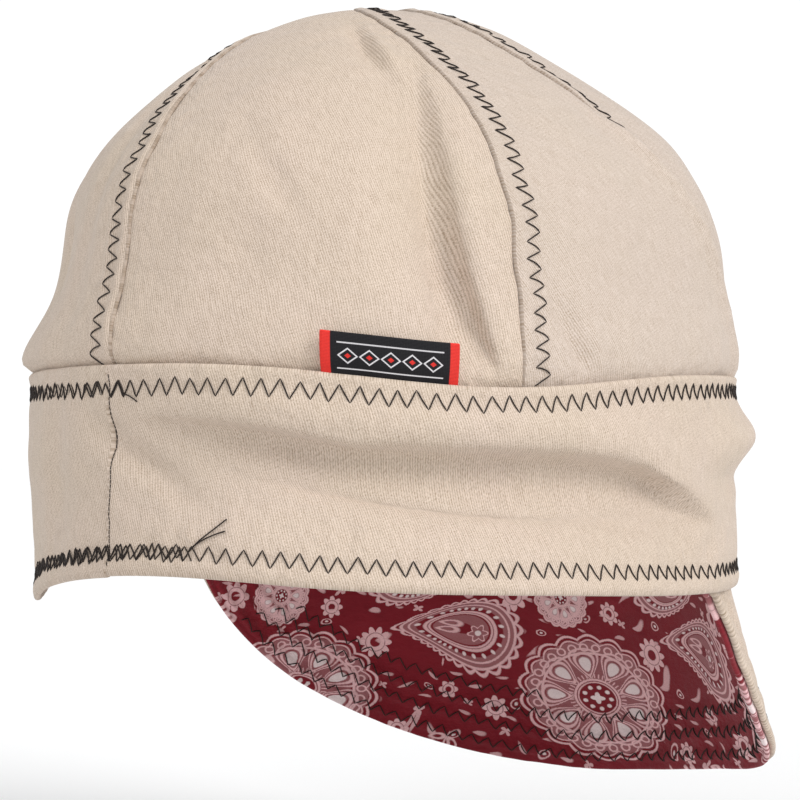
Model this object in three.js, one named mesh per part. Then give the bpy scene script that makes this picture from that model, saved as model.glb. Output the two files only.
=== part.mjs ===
// A welding cap: six cloth panels sewn into a crown, a wide band round the rim, a woven label caught
// at the band's top edge, and a soft lined bill that hangs below the rim at the front.
// The cap keeps the form that it has on a head. The rim is level, +Z is up, the bill is towards -Y
// and the wearer's right is -X. The origin is the middle of the head opening, in the rim's plane.
import * as THREE from "three";

// Driving sizes, in millimetres
const rimHalfLength = 99.5; // the band's outside, from the middle to the front and to the back
const rimHalfWidth = 92; // the band's outside, from the middle to each side
const bandHeight = 52;
const bandWall = 1.8;
const bandFoldDepth = 3.6; // the deepest fold in the band
const bandEdgeWave = 6.4; // how far the band's edges dip and rise at most
const bandJoinStep = 0.3; // how far the band's end hangs low at its join
const crownRise = 99; // the band's top edge to the top of the crown
const crownWall = 1.2;
const crownTuck = 9; // how far the crown reaches down inside the band
const crownTipRadius = 1.6; // where the six panels' tips stop round the middle
const crownFoldDepth = 3.4; // the deepest dent in the crown
const seamLap = 8; // the width of the folded cloth beside a seam
const seamLapRise = 0.5;
const seamFurrow = 1.0; // how far a panel's edge sinks into its seam
const seamFurrowWidth = 2.7;
const seamRun = 24; // a panel narrower than this has flatter seams, towards its tip
const billDrop = 69; // the rim to the bill's free edge, at the front
const billFlare = 15; // how far the bill leans out from straight down, in degrees
const billOuterWall = 2.0;
const billLiningWall = 1.6;
const billTuck = 8; // how far the bill reaches up inside the band
const billEndDrop = 1.6; // how far the bill's ends hang below the band
const billFoldDepth = 5; // the deepest wave in the bill
const billBendHeight = 4; // the height over which the bill turns from upright to its flare
const labelWidth = 29.6;
const labelHeight = 9.4;
const labelWall = 0.7;
const labelLean = 0.9; // how far the label's top edge stands off the crown
const pieceGap = 0.3; // the clearance between two pieces
const tuckGap = 0.55; // the clearance of what is tucked inside the band

// Driving angles, in degrees round the cap: 0 is the middle of the back, 90 the wearer's right
const bandJoinAngle = -5.5;
const bandJoinSpread = 24; // the turn over which the low end at the join fades out
const billMiddleAngle = 178.5;
const billHalfSpan = 77;
const labelAngle = 35;

// How the pieces' grids are divided
const bandColumns = 66;
const bandRows = 12;
const panelColumns = 9;
const panelRows = 12;
const billColumns = 38;
const billRows = 7;
const tuckRows = 2; // the rows in what is tucked inside the band
const labelColumns = 8;
const labelRows = 2;

// Shares that shape the crown's foot and the bill
const crownFootRise = 0.022; // the share of the crown's rise in which its dents fade in from the band
const seamFootRise = 0.083; // the share of a panel's length in which its seams fade in
const billFullness = 0.85; // a smaller power keeps the bill's edge low for more of its span
const billWaveGrowth = 1.5; // the power with which the bill's waves grow towards its edge

// The crown's seams. Angle is where a seam meets the band, and lean is how far it has turned, in
// degrees, when it reaches the middle of the top: the crown's cloth lies a little to one side.
// Delay is the power with which the turn grows: with a larger one it comes nearer the top.
const seams = [
  { angle: -5, lean: -66, delay: 2 },
  { angle: 53.6, lean: -70, delay: 2 },
  { angle: 113, lean: -74, delay: 0.75 },
  { angle: 174, lean: -62, delay: 1 },
  { angle: 236, lean: -50, delay: 1.3 },
  { angle: 296, lean: -44, delay: 2 },
];

// The panels, each between the seam before it and the seam after it in the list above
const panelNames = [
  "panel_back_right",
  "panel_side_right",
  "panel_front_right",
  "panel_front_left",
  "panel_side_left",
  "panel_back_left",
];

// Folds in the band. Angle is in degrees round the cap and slope in degrees from level. Height and
// width are shares of the band's height, reach of the rim's half length, depth of the deepest fold.
const bandFolds = [
  { angle: 44, height: 0.595, reach: 0.78, width: 0.11, slope: -4, depth: -1.15 },
  { angle: 40, height: 0.82, reach: 0.8, width: 0.12, slope: -4, depth: 0.4 },
  { angle: 48, height: 0.34, reach: 0.7, width: 0.2, slope: -4, depth: 0.2 },
  { angle: 113, height: 0.72, reach: 0.34, width: 0.12, slope: 3, depth: 1.35 },
  { angle: 112, height: 0.53, reach: 0.3, width: 0.07, slope: 3, depth: -0.3 },
  { angle: 4, height: 0.45, reach: 0.16, width: 0.3, slope: -48, depth: -0.3 },
  { angle: -40, height: 0.94, reach: 0.3, width: 0.2, slope: 0, depth: -0.3 },
  { angle: -46, height: 0.12, reach: 0.34, width: 0.42, slope: 0, depth: -0.85 },
  { angle: 160, height: 0.58, reach: 0.45, width: 0.12, slope: 6, depth: -0.6 },
  { angle: 205, height: 0.5, reach: 0.4, width: 0.12, slope: -9, depth: -0.55 },
  { angle: 268, height: 0.6, reach: 0.6, width: 0.12, slope: 7, depth: -0.7 },
  { angle: 262, height: 0.8, reach: 0.5, width: 0.13, slope: 6, depth: 0.4 },
];

// Where the band's top and bottom edges leave their level lines. Angle and spread are in degrees,
// rise is a share of the edge wave.
const topEdgeWaves = [
  { angle: 50, spread: 28, rise: -1.0 },
  { angle: -14, spread: 26, rise: 0.32 },
  { angle: -54, spread: 22, rise: 0.3 },
  { angle: 226, spread: 34, rise: -0.5 },
];
const bottomEdgeWaves = [
  { angle: 2, spread: 27, rise: 0.8 },
  { angle: 92, spread: 40, rise: -0.3 },
  { angle: -43, spread: 17, rise: -0.9 },
  { angle: 300, spread: 26, rise: 0.2 },
];

// Rings in which the crown stands out from, or falls short of, its round profile. Height and width
// are shares of the crown's rise, depth is a share of the deepest dent.
const crownRings = [
  { height: 0.07, width: 0.09, depth: 0.42 },
  { height: 0.48, width: 0.18, depth: 0.8 },
  { height: 0.83, width: 0.13, depth: -0.8 },
];

// Dents in the crown, told as the band's folds are, with height and width as shares of the rise
const crownFolds = [
  { angle: 44, height: 0.32, reach: 0.05, width: 0.34, slope: 6, depth: -0.55 },
  { angle: 33, height: 0.3, reach: 0.1, width: 0.3, slope: 4, depth: 0.25 },
  { angle: -43, height: 0.3, reach: 0.4, width: 0.16, slope: 0, depth: -0.75 },
  { angle: -42, height: 0.68, reach: 0.3, width: 0.3, slope: 0, depth: 0.45 },
  { angle: -44, height: 0.055, reach: 0.5, width: 0.1, slope: 0, depth: 1.15 },
  { angle: 100, height: 0.85, reach: 0.3, width: 0.09, slope: 8, depth: -1.0 },
  { angle: 112, height: 0.46, reach: 0.3, width: 0.3, slope: 0, depth: 1.1 },
  { angle: 114, height: 0.66, reach: 0.3, width: 0.12, slope: 0, depth: 1.0 },
  { angle: -52, height: 0.87, reach: 0.35, width: 0.1, slope: 0, depth: 0.9 },
  { angle: 82, height: 0.3, reach: 0.2, width: 0.3, slope: 12, depth: -0.35 },
  { angle: 142, height: 0.28, reach: 0.22, width: 0.16, slope: -14, depth: -0.6 },
  { angle: 204, height: 0.36, reach: 0.24, width: 0.2, slope: 10, depth: -0.55 },
  { angle: 268, height: 0.3, reach: 0.3, width: 0.14, slope: -8, depth: -0.6 },
  { angle: 330, height: 0.5, reach: 0.14, width: 0.25, slope: 8, depth: -0.35 },
];

// Where the bill's free edge leaves its even curve, told as the waves below are. Drop is a share of
// the deepest wave.
const billEdgeDrops = [
  { angle: -49, spread: 14, drop: 1.45 },
  { angle: -14, spread: 22, drop: -0.45 },
];

// Waves in the hanging bill. Angle and spread are in degrees, measured from the bill's middle, and
// depth is a share of the deepest wave at the free edge.
const billWaves = [
  { angle: -50, spread: 15, depth: 1.0 },
  { angle: -26, spread: 12, depth: -0.35 },
  { angle: -6, spread: 20, depth: 0.5 },
  { angle: 30, spread: 16, depth: -0.35 },
  { angle: 56, spread: 16, depth: 0.3 },
];

const degree = Math.PI / 180;

// The shortest turn from one angle to another, in degrees.
function turnFrom(start, end) {
  return ((((end - start) % 360) + 540) % 360) - 180;
}

// The unit direction out from the cap's middle at an angle round it.
function outward(angle) {
  return new THREE.Vector3(-Math.sin(angle * degree), Math.cos(angle * degree), 0);
}

// The rim's outside radius at an angle: an oval, longer from front to back.
function rimRadius(angle) {
  const across = rimHalfWidth * Math.cos(angle * degree);
  const along = rimHalfLength * Math.sin(angle * degree);
  return (rimHalfWidth * rimHalfLength) / Math.hypot(across, along);
}

// A smooth hump: 1 at its middle, falling off over its width.
function hump(distance, width) {
  return Math.exp(-((distance / width) ** 2));
}

// How far the folds in a table push a wall out at an angle and a height given as a share of tall.
function foldOffset(folds, deepest, tall, angle, share) {
  let offset = 0;
  for (const fold of folds) {
    const along = turnFrom(fold.angle, angle) * degree * rimHalfLength;
    const up = (share - fold.height) * tall;
    const lean = fold.slope * degree;
    const run = along * Math.cos(lean) + up * Math.sin(lean);
    const rise = up * Math.cos(lean) - along * Math.sin(lean);
    const shape = hump(run, fold.reach * rimHalfLength) * hump(rise, fold.width * tall);
    offset += fold.depth * deepest * shape;
  }
  return offset;
}

// How far an edge of the band rises above its level line.
function edgeWave(waves, angle) {
  let rise = 0;
  for (const wave of waves) {
    rise += wave.rise * bandEdgeWave * hump(turnFrom(wave.angle, angle), wave.spread);
  }
  return rise;
}

function bandTop(angle) {
  return bandHeight + edgeWave(topEdgeWaves, angle);
}

// The bottom edge, with the end at the join hanging a little lower than the start.
function bandBottom(angle) {
  const past = turnFrom(bandJoinAngle, angle);
  const step = past < 0 ? bandJoinStep * hump(past, bandJoinSpread) : 0;
  return edgeWave(bottomEdgeWaves, angle) - step;
}

// The band's outside radius at a share of its height.
function bandRadius(angle, share) {
  return rimRadius(angle) + foldOffset(bandFolds, bandFoldDepth, bandHeight, angle, share);
}

function bandPoint(angle, share) {
  const low = bandBottom(angle);
  const height = low + share * (bandTop(angle) - low);
  return outward(angle).multiplyScalar(bandRadius(angle, share)).setZ(height);
}

// What is tucked inside the band, at a share of the band's height.
function insideBand(angle, share) {
  return sunk(bandPoint, bandWall + tuckGap)(angle, share);
}

// How far the crown's rings and dents push it out, fading towards the middle of the top.
function crownOffset(angle, rise) {
  let offset = foldOffset(crownFolds, crownFoldDepth, crownRise, angle, rise);
  for (const ring of crownRings) {
    offset += ring.depth * crownFoldDepth * hump(rise - ring.height, ring.width);
  }
  return offset * Math.sqrt(Math.max(0, 1 - rise * rise));
}

// A point on the crown's outside. Climb is in degrees: 0 at the band's top edge, 90 at the middle.
function crownPoint(angle, climb) {
  const start = insideBand(angle, 1);
  const base = Math.hypot(start.x, start.y);
  const rise = Math.sin(climb * degree);
  const top = bandHeight + crownRise;
  const seat = crownOffset(angle, 0) * hump(rise, crownFootRise);
  const radius = base * Math.cos(climb * degree) + crownOffset(angle, rise) - seat;
  return outward(angle).multiplyScalar(radius).setZ(start.z + rise * (top - start.z));
}

// The outward normal of a surface at (u, v), from small steps along both.
function normalAt(surface, u, v) {
  const step = 1e-3;
  const along = surface(u + step, v).sub(surface(u - step, v));
  const up = surface(u, v + step).sub(surface(u, v - step));
  return along.cross(up).normalize();
}

// The same surface, sunk a distance below its outside.
function sunk(surface, depth) {
  return (u, v) => surface(u, v).addScaledVector(normalAt(surface, u, v), -depth);
}

function evenSteps(count) {
  return Array.from({ length: count + 1 }, (_, i) => i / count);
}

// The rows of a tuck from one value of v towards another, which is left out.
function tuckSteps(from, to) {
  return Array.from({ length: tuckRows }, (_, i) => from + (i * (to - from)) / tuckRows);
}

// A cloth wall: a closed body between a surface and the same surface sunk by the wall's thickness.
// The us and vs are the shares at which its grid lines run.
function clothWall(surface, wall, us, vs) {
  const inner = sunk(surface, wall);
  const rows = vs.length;
  const positions = [];
  for (const face of [surface, inner]) {
    for (const u of us) for (const v of vs) positions.push(...face(u, v).toArray());
  }
  const size = us.length * rows;
  const out = (i, j) => i * rows + j;
  const inn = (i, j) => size + i * rows + j;
  const index = [];
  const quad = (a, b, c, d) => index.push(a, b, c, a, c, d);
  for (let i = 0; i + 1 < us.length; i++) {
    for (let j = 0; j + 1 < rows; j++) {
      quad(out(i, j), out(i + 1, j), out(i + 1, j + 1), out(i, j + 1));
      quad(inn(i, j), inn(i, j + 1), inn(i + 1, j + 1), inn(i + 1, j));
    }
    quad(out(i, 0), inn(i, 0), inn(i + 1, 0), out(i + 1, 0));
    quad(out(i, rows - 1), out(i + 1, rows - 1), inn(i + 1, rows - 1), inn(i, rows - 1));
  }
  const last = us.length - 1;
  for (let j = 0; j + 1 < rows; j++) {
    quad(out(0, j), out(0, j + 1), inn(0, j + 1), inn(0, j));
    quad(out(last, j), inn(last, j), inn(last, j + 1), out(last, j + 1));
  }
  const geometry = new THREE.BufferGeometry();
  geometry.setAttribute("position", new THREE.Float32BufferAttribute(positions, 3));
  geometry.setIndex(index);
  geometry.computeVertexNormals();
  return geometry;
}

// The band: one strip from its join all the way round to its join.
function bandGeometry() {
  const half = pieceGap / 2 / rimHalfLength / degree;
  const surface = (u, v) => bandPoint(bandJoinAngle + half + u * (360 - 2 * half), v);
  return clothWall(surface, bandWall, evenSteps(bandColumns), evenSteps(bandRows));
}

// The angle of a seam at a climb: it turns more as it nears the middle of the crown.
function seamAngle(seam, climb) {
  return seam.angle + seam.lean * (1 - Math.cos(climb * degree)) ** seam.delay;
}

// One panel of the crown: v runs from -1 inside the band, through 0 at the band's top edge, to 1 at
// the tip near the middle of the top.
function panelGeometry(before, after) {
  const lastClimb = Math.acos(crownTipRadius / rimHalfWidth) / degree;
  const surface = (u, v) => {
    const climb = Math.max(0, v) * lastClimb;
    const start = seamAngle(before, climb);
    const span = turnFrom(start, seamAngle(after, climb));
    const edge = crownPoint(start, climb).setZ(0).length();
    const inset = pieceGap / 2 / edge / degree;
    const angle = start + inset + u * (span - 2 * inset);
    if (v < 0) return insideBand(angle, 1 + (v * crownTuck) / bandHeight);
    const width = span * degree * edge;
    const foot = Math.sin((Math.PI / 2) * Math.min(1, v / seamFootRise));
    const fade = foot * Math.min(1, width / seamRun);
    const edges = hump(u * width, seamFurrowWidth) + hump((1 - u) * width, seamFurrowWidth);
    const lap = hump(u * width - seamLap / 2, seamLap / 2);
    const stand = fade * (lap * seamLapRise - edges * seamFurrow);
    return crownPoint(angle, climb).addScaledVector(outward(angle), stand);
  };
  const lapShare = seamLap / (turnFrom(before.angle, after.angle) * degree * rimHalfLength);
  const us = [0, lapShare / 2];
  for (const step of evenSteps(panelColumns - 2)) us.push(lapShare + step * (1 - 1.5 * lapShare));
  us.push(1);
  return clothWall(surface, crownWall, us, [...tuckSteps(-1, 0), ...evenSteps(panelRows)]);
}

// How far the bill's free edge hangs below the rim's plane: most in the middle, nothing at its ends.
function billDepth(turn) {
  const share = Math.min(1, Math.abs(turn) / billHalfSpan);
  const full = 1 - share * share;
  let drop = billDrop * full ** billFullness;
  for (const row of billEdgeDrops) {
    drop += row.drop * billFoldDepth * hump(turn - row.angle, row.spread) * Math.sqrt(full);
  }
  return drop;
}

// A point on the bill's outside. Turn is in degrees from the bill's middle; v runs from 0 at the free
// edge, through 1 at the rim, to 2 inside the band.
function billPoint(turn, v) {
  const angle = billMiddleAngle + turn;
  if (v >= 1) return insideBand(angle, ((v - 1) * billTuck) / bandHeight);
  const rim = insideBand(angle, 0);
  const hang = (1 - v) * Math.max(billDepth(turn) + rim.z, billEndDrop);
  let wave = 0;
  for (const row of billWaves) {
    wave += row.depth * billFoldDepth * hump(turn - row.angle, row.spread);
  }
  const lean = (Math.tan(billFlare * degree) * hang * hang) / (hang + billBendHeight);
  const radius = Math.hypot(rim.x, rim.y) + lean + wave * (hang / billDrop) ** billWaveGrowth;
  return outward(angle).multiplyScalar(radius).setZ(rim.z - hang);
}

// One of the bill's two cloths, sunk a depth below the bill's outside.
function billGeometry(depth, wall) {
  const surface = (u, v) => billPoint((2 * u - 1) * billHalfSpan, v);
  const vs = [...evenSteps(billRows), ...tuckSteps(1, 2).map((step) => step + 1 / tuckRows)];
  return clothWall(sunk(surface, depth), wall, evenSteps(billColumns), vs);
}

// The label: a small woven tab that stands on the band's top edge, close against the crown.
function labelGeometry() {
  const halfTurn = labelWidth / 2 / rimRadius(labelAngle) / degree;
  const surface = (u, v) => {
    const angle = labelAngle + (2 * u - 1) * halfTurn;
    const rise = pieceGap + v * labelHeight;
    const climb = Math.asin(rise / (bandHeight + crownRise - bandTop(angle))) / degree;
    const stand = 2 * pieceGap + labelWall + labelLean * v;
    return crownPoint(angle, climb).addScaledVector(outward(angle), stand);
  };
  return clothWall(surface, labelWall, evenSteps(labelColumns), evenSteps(labelRows));
}

// Materials
function cloth(color, roughness) {
  return new THREE.MeshStandardMaterial({ color, roughness, metalness: 0 });
}
const twill = cloth(0xd9c6ad, 0.9);
const printedCotton = cloth(0x6b1a22, 0.95);
const wovenTape = cloth(0x232126, 0.7);

const cap = new THREE.Group();
cap.name = "welding_cap";

function addPiece(name, geometry, material) {
  const piece = new THREE.Mesh(geometry, material);
  piece.name = name;
  cap.add(piece);
}

addPiece("band", bandGeometry(), twill);
panelNames.forEach((name, i) => {
  addPiece(name, panelGeometry(seams[i], seams[(i + 1) % seams.length]), twill);
});
addPiece("bill_outer", billGeometry(0, billOuterWall), twill);
addPiece("bill_lining", billGeometry(billOuterWall + pieceGap, billLiningWall), printedCotton);
addPiece("label", labelGeometry(), wovenTape);

export default cap;
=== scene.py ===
"""The welding cap's cloth, stitches and finishes, and the studio it is shown in.

The cap keeps the form that it has on a head. Lengths in this file are in millimetres and are turned
into metres where a mesh is made. Angles are in degrees round the cap: 0 is the middle of the back,
90 the wearer's right and 180 the bill.
"""

import logging
import math
from dataclasses import dataclass, field
from enum import Enum
from functools import reduce
from typing import Any, Callable, Iterable, Sequence

import bpy
import numpy as np
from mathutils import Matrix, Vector

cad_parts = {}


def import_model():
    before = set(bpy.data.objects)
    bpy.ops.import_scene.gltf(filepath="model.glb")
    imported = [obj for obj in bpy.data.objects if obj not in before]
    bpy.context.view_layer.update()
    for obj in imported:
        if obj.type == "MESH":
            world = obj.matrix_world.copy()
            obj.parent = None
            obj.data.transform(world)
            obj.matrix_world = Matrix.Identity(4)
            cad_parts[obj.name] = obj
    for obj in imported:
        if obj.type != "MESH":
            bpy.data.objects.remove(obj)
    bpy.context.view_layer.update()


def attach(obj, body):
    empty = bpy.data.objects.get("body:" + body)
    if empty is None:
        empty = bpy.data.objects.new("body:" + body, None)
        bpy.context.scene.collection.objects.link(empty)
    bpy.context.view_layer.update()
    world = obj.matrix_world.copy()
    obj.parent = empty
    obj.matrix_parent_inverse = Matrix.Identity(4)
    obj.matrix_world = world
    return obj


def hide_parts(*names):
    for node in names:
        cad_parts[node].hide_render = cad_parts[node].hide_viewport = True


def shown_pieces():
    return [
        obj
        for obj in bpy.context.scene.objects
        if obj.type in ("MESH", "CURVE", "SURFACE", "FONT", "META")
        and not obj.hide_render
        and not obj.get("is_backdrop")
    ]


log = logging.getLogger("cap")

Array = np.ndarray
Surface = Callable[[Array, Array], Array]

METRES = 0.001
DEGREE = math.pi / 180


# Shapes told in tables


@dataclass(frozen=True)
class Fold:
    """A fold or dent: where it lies, how far it reaches, how it slopes and how deep it is."""

    angle: float
    height: float
    reach: float
    width: float
    slope: float
    depth: float


@dataclass(frozen=True)
class Wave:
    """A rise or fall of an edge or a hanging wall about one angle."""

    angle: float
    spread: float
    depth: float


@dataclass(frozen=True)
class Ring:
    """A level all round the crown that stands out from its round profile or falls short of it."""

    height: float
    width: float
    depth: float


@dataclass(frozen=True)
class Seam:
    """A seam of the crown: where it meets the band, how far and late it turns, the stitched side."""

    angle: float
    lean: float
    delay: float
    side: int


@dataclass(frozen=True)
class Crease:
    """A point on a sharp fold's line: how far along and across it lies, its depth and half width."""

    along: float
    across: float
    depth: float
    width: float


@dataclass(frozen=True)
class BillRow:
    """A row of stitches on the bill: its height, and its ends as shares of half the bill."""

    height: float
    first: float
    last: float


def crease_line(rows: Sequence[Crease], along: Array) -> tuple[Array, Array, Array]:
    """Where a sharp fold lies, how deep and how wide it is at each place along it."""
    order = sorted(rows, key=lambda row: row.along)
    places = [row.along for row in order]
    return (
        np.interp(along, places, [row.across for row in order]),
        np.interp(along, places, [row.depth for row in order]),
        np.interp(along, places, [row.width for row in order]),
    )


@dataclass(frozen=True)
class Tuck:
    """How the cloth comes back below a sharp fold's line and rolls out above it."""

    back: float
    roll: float
    shift: float
    spread: float

    def push(self, above: Array, depth: Array, width: Array) -> Array:
        """How far the fold pushes the cloth out, at distances above its line."""
        tuck = ramp(-above, -width, width) * hump(np.maximum(0, -above - width), self.back)
        roll = hump(above - width - self.shift, self.spread) * ramp(above, -width, width)
        return depth * (self.roll * roll - tuck)


@dataclass(frozen=True)
class Ridge:
    """A ridge or channel along an edge or a seam: its height, its place and its half width."""

    height: float
    place: float
    width: float

    def at(self, distance: Array) -> Array:
        """The height at a distance from the edge."""
        return self.height * hump(distance - self.place, self.width)


@dataclass(frozen=True)
class Ripple:
    """Unevenness in cloth: its height, the length of its steps both ways, and its pattern."""

    height: float
    along: float
    up: float
    seed: float

    def at(self, along: Array, up: Array, number: int = 0) -> Array:
        """The height at a place on a cloth, whose number picks the pattern."""
        return self.height * soft_noise(along / self.along, up / self.up, self.seed + number)


def folds(*rows: Sequence[float]) -> tuple[Fold, ...]:
    """Turns rows of numbers into folds."""
    return tuple(Fold(*row) for row in rows)


def waves(*rows: Sequence[float]) -> tuple[Wave, ...]:
    """Turns rows of numbers into waves."""
    return tuple(Wave(*row) for row in rows)


BAND_FOLDS = folds(
    (44, 0.595, 0.78, 0.11, -4, -1.15),
    (40, 0.82, 0.8, 0.12, -4, 0.4),
    (48, 0.34, 0.7, 0.2, -4, 0.2),
    (113, 0.72, 0.34, 0.12, 3, 1.35),
    (112, 0.53, 0.3, 0.07, 3, -0.3),
    (4, 0.45, 0.16, 0.3, -48, -0.3),
    (-40, 0.94, 0.3, 0.2, 0, -0.3),
    (-46, 0.12, 0.34, 0.42, 0, -0.85),
    (160, 0.58, 0.45, 0.12, 6, -0.6),
    (205, 0.5, 0.4, 0.12, -9, -0.55),
    (268, 0.6, 0.6, 0.12, 7, -0.7),
    (262, 0.8, 0.5, 0.13, 6, 0.4),
)
LONG_FOLD = (
    Crease(-2, 0.75, 0.0, 1.6),
    Crease(3, 0.745, 1.6, 1.8),
    Crease(9.5, 0.735, 3.4, 2.2),
    Crease(16.5, 0.72, 5.6, 2.5),
    Crease(23, 0.69, 7.0, 2.9),
    Crease(29.5, 0.665, 7.9, 3.2),
    Crease(38, 0.665, 8.6, 3.6),
    Crease(50, 0.66, 8.8, 3.9),
    Crease(59, 0.64, 8.5, 4.0),
    Crease(68, 0.605, 7.7, 3.8),
    Crease(74, 0.58, 7.0, 3.0),
    Crease(78.5, 0.54, 6.4, 1.9),
    Crease(82, 0.485, 5.8, 1.3),
    Crease(86, 0.43, 4.6, 1.1),
    Crease(90.5, 0.37, 2.4, 1.1),
    Crease(97, 0.32, 0.0, 1.1),
)
LONG_TUCK = Tuck(back=17.0, roll=0.28, shift=3.0, spread=5.5)
BAND_DENTS = folds(
    (0, 0.53, 0.18, 0.08, -38, -0.95),
    (3, 0.42, 0.14, 0.08, -38, 0.4),
    (-18, 0.5, 0.05, 0.5, 0, -0.3),
    (96, 0.22, 0.1, 0.06, 35, -0.2),
    (150, 0.4, 0.2, 0.07, 22, -0.35),
    (215, 0.72, 0.25, 0.06, -12, -0.4),
    (300, 0.5, 0.2, 0.06, 25, -0.35),
)
CROWN_CREASE = (
    Crease(1.5, 50.0, 0.0, 0.8),
    Crease(4.5, 49.0, 2.2, 0.9),
    Crease(8.5, 47.5, 3.8, 1.1),
    Crease(15, 45.5, 5.2, 1.5),
    Crease(21, 44.0, 5.6, 1.9),
    Crease(27.5, 43.0, 5.2, 2.2),
    Crease(33.5, 42.3, 4.2, 2.3),
    Crease(39, 42.2, 3.0, 2.2),
    Crease(43, 42.0, 1.8, 2.0),
    Crease(50, 41.5, 0.0, 2.0),
)
CROWN_TUCK = Tuck(back=13.0, roll=0.24, shift=2.0, spread=3.5)
CROWN_DENTS = folds(
    (-52, 0.1, 0.3, 0.05, 0, -0.3),
    (15, 0.27, 0.1, 0.07, -10, -0.4),
    (18, 0.43, 0.16, 0.035, -48, -0.28),
    (29, 0.8, 0.12, 0.03, -35, -0.6),
    (34, 0.78, 0.1, 0.03, -35, 0.5),
    (-18, 0.45, 0.05, 0.3, 6, -0.5),
    (62, 0.1, 0.02, 0.12, 25, -0.5),
    (66, 0.08, 0.03, 0.1, 20, 0.3),
    (80, 0.62, 0.25, 0.04, 24, -0.25),
    (150, 0.5, 0.2, 0.06, 60, -0.7),
    (205, 0.3, 0.16, 0.05, 70, -0.7),
    (262, 0.55, 0.2, 0.05, 55, -0.6),
    (325, 0.35, 0.15, 0.05, -60, -0.6),
)
TOP_EDGE_WAVES = waves(
    (50, 28, -1.0),
    (-14, 30, -0.08),
    (-54, 22, -0.1),
    (94, 22, -0.16),
    (226, 34, -0.5),
)
BOTTOM_EDGE_WAVES = waves(
    (2, 27, 0.8),
    (52, 38, 0.31),
    (92, 40, -0.3),
    (-43, 17, -0.9),
    (300, 26, 0.2),
)
CROWN_RINGS = (Ring(0.07, 0.09, 0.42), Ring(0.48, 0.18, 0.8), Ring(0.83, 0.13, -0.8))
CROWN_FOLDS = folds(
    (44, 0.32, 0.05, 0.34, 6, -0.55),
    (33, 0.3, 0.1, 0.3, 4, 0.25),
    (-43, 0.3, 0.4, 0.16, 0, -0.75),
    (-42, 0.68, 0.3, 0.3, 0, 0.45),
    (-44, 0.055, 0.5, 0.1, 0, 1.15),
    (100, 0.85, 0.3, 0.09, 8, -1.0),
    (112, 0.46, 0.3, 0.3, 0, 1.1),
    (114, 0.66, 0.3, 0.12, 0, 1.0),
    (-52, 0.87, 0.35, 0.1, 0, 0.9),
    (82, 0.3, 0.2, 0.3, 12, -0.35),
    (142, 0.28, 0.22, 0.16, -14, -0.6),
    (204, 0.36, 0.24, 0.2, 10, -0.55),
    (268, 0.3, 0.3, 0.14, -8, -0.6),
    (330, 0.5, 0.14, 0.25, 8, -0.35),
)
BILL_EDGE_DROPS = waves((-49, 14, 1.45), (-14, 22, -0.45))
BILL_WAVES = waves((-50, 15, 1.0), (-26, 12, -0.35), (-6, 20, 0.5), (30, 16, -0.35), (56, 16, 0.3))
BILL_ROWS = (BillRow(3.6, -0.73, 0.86), BillRow(10.4, -0.7, 0.82), BillRow(16.6, -0.66, 0.77))
BILL_SHORT_ROW = BillRow(22.6, 0.1, 0.71)
BILL_PUFFS = (7.0, 13.5, 20.0)
SEAMS = (
    Seam(-5, -66, 2, -1),
    Seam(53.6, -70, 2, 1),
    Seam(113, -74, 0.75, 1),
    Seam(174, -62, 1, 1),
    Seam(236, -50, 1.3, -1),
    Seam(296, -44, 2, -1),
)
PANEL_NAMES = (
    "panel_back_right",
    "panel_side_right",
    "panel_front_right",
    "panel_front_left",
    "panel_side_left",
    "panel_back_left",
)


# Small mathematics on arrays


def hump(distance: Array, width: float) -> Array:
    """A smooth hump: 1 at its middle, falling off over its width."""
    return np.exp(-((distance / width) ** 2))


def ramp(value: Array, low: float, high: float) -> Array:
    """A smooth step from 0 at low to 1 at high."""
    share = np.clip((value - low) / (high - low), 0, 1)
    return share * share * (3 - 2 * share)


def turn_from(start: Array, end: Array) -> Array:
    """The shortest turn from one angle to another, in degrees."""
    return (np.asarray(end) - start + 540) % 360 - 180


def outward(angle: Array) -> Array:
    """The level unit direction out from the cap's middle at an angle."""
    turn = np.asarray(angle, float) * DEGREE
    return np.stack([-np.sin(turn), np.cos(turn), np.zeros_like(turn)], axis=-1)


def unit(vectors: Array) -> Array:
    """The vectors, each scaled to length 1."""
    return vectors / np.maximum(np.linalg.norm(vectors, axis=-1, keepdims=True), 1e-12)


def soft_noise(x: Array, y: Array, seed: float) -> Array:
    """Smooth uneven cloth: a value from -1 to 1 that changes over steps of about 1.

    Args:
        x: The place along the first direction.
        y: The place along the second direction.
        seed: Which of many such patterns.

    Returns:
        The pattern's value at each place.
    """
    x, y = np.broadcast_arrays(np.asarray(x, float), np.asarray(y, float))
    left, low = np.floor(x), np.floor(y)
    fx, fy = x - left, y - low
    fx, fy = fx * fx * (3 - 2 * fx), fy * fy * (3 - 2 * fy)

    def corner(i: Array, j: Array) -> Array:
        """The value at a corner of the pattern's squares."""
        mixed = np.sin(i * 127.1 + j * 311.7 + seed * 74.7) * 43758.5453
        return 2 * (mixed - np.floor(mixed)) - 1

    bottom = corner(left, low) * (1 - fx) + corner(left + 1, low) * fx
    top = corner(left, low + 1) * (1 - fx) + corner(left + 1, low + 1) * fx
    return bottom * (1 - fy) + top * fy


def normals(surface: Surface, u: Array, v: Array, step: float = 1e-3) -> Array:
    """The outward unit directions of a surface, from small steps along both of its ways."""
    along = surface(u + step, v) - surface(u - step, v)
    up = surface(u, v + step) - surface(u, v - step)
    return unit(np.cross(along, up))


def sunk(surface: Surface, depth: float) -> Surface:
    """The same surface, sunk a distance below its outside."""
    return lambda u, v: surface(u, v) - normals(surface, u, v) * depth


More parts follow.
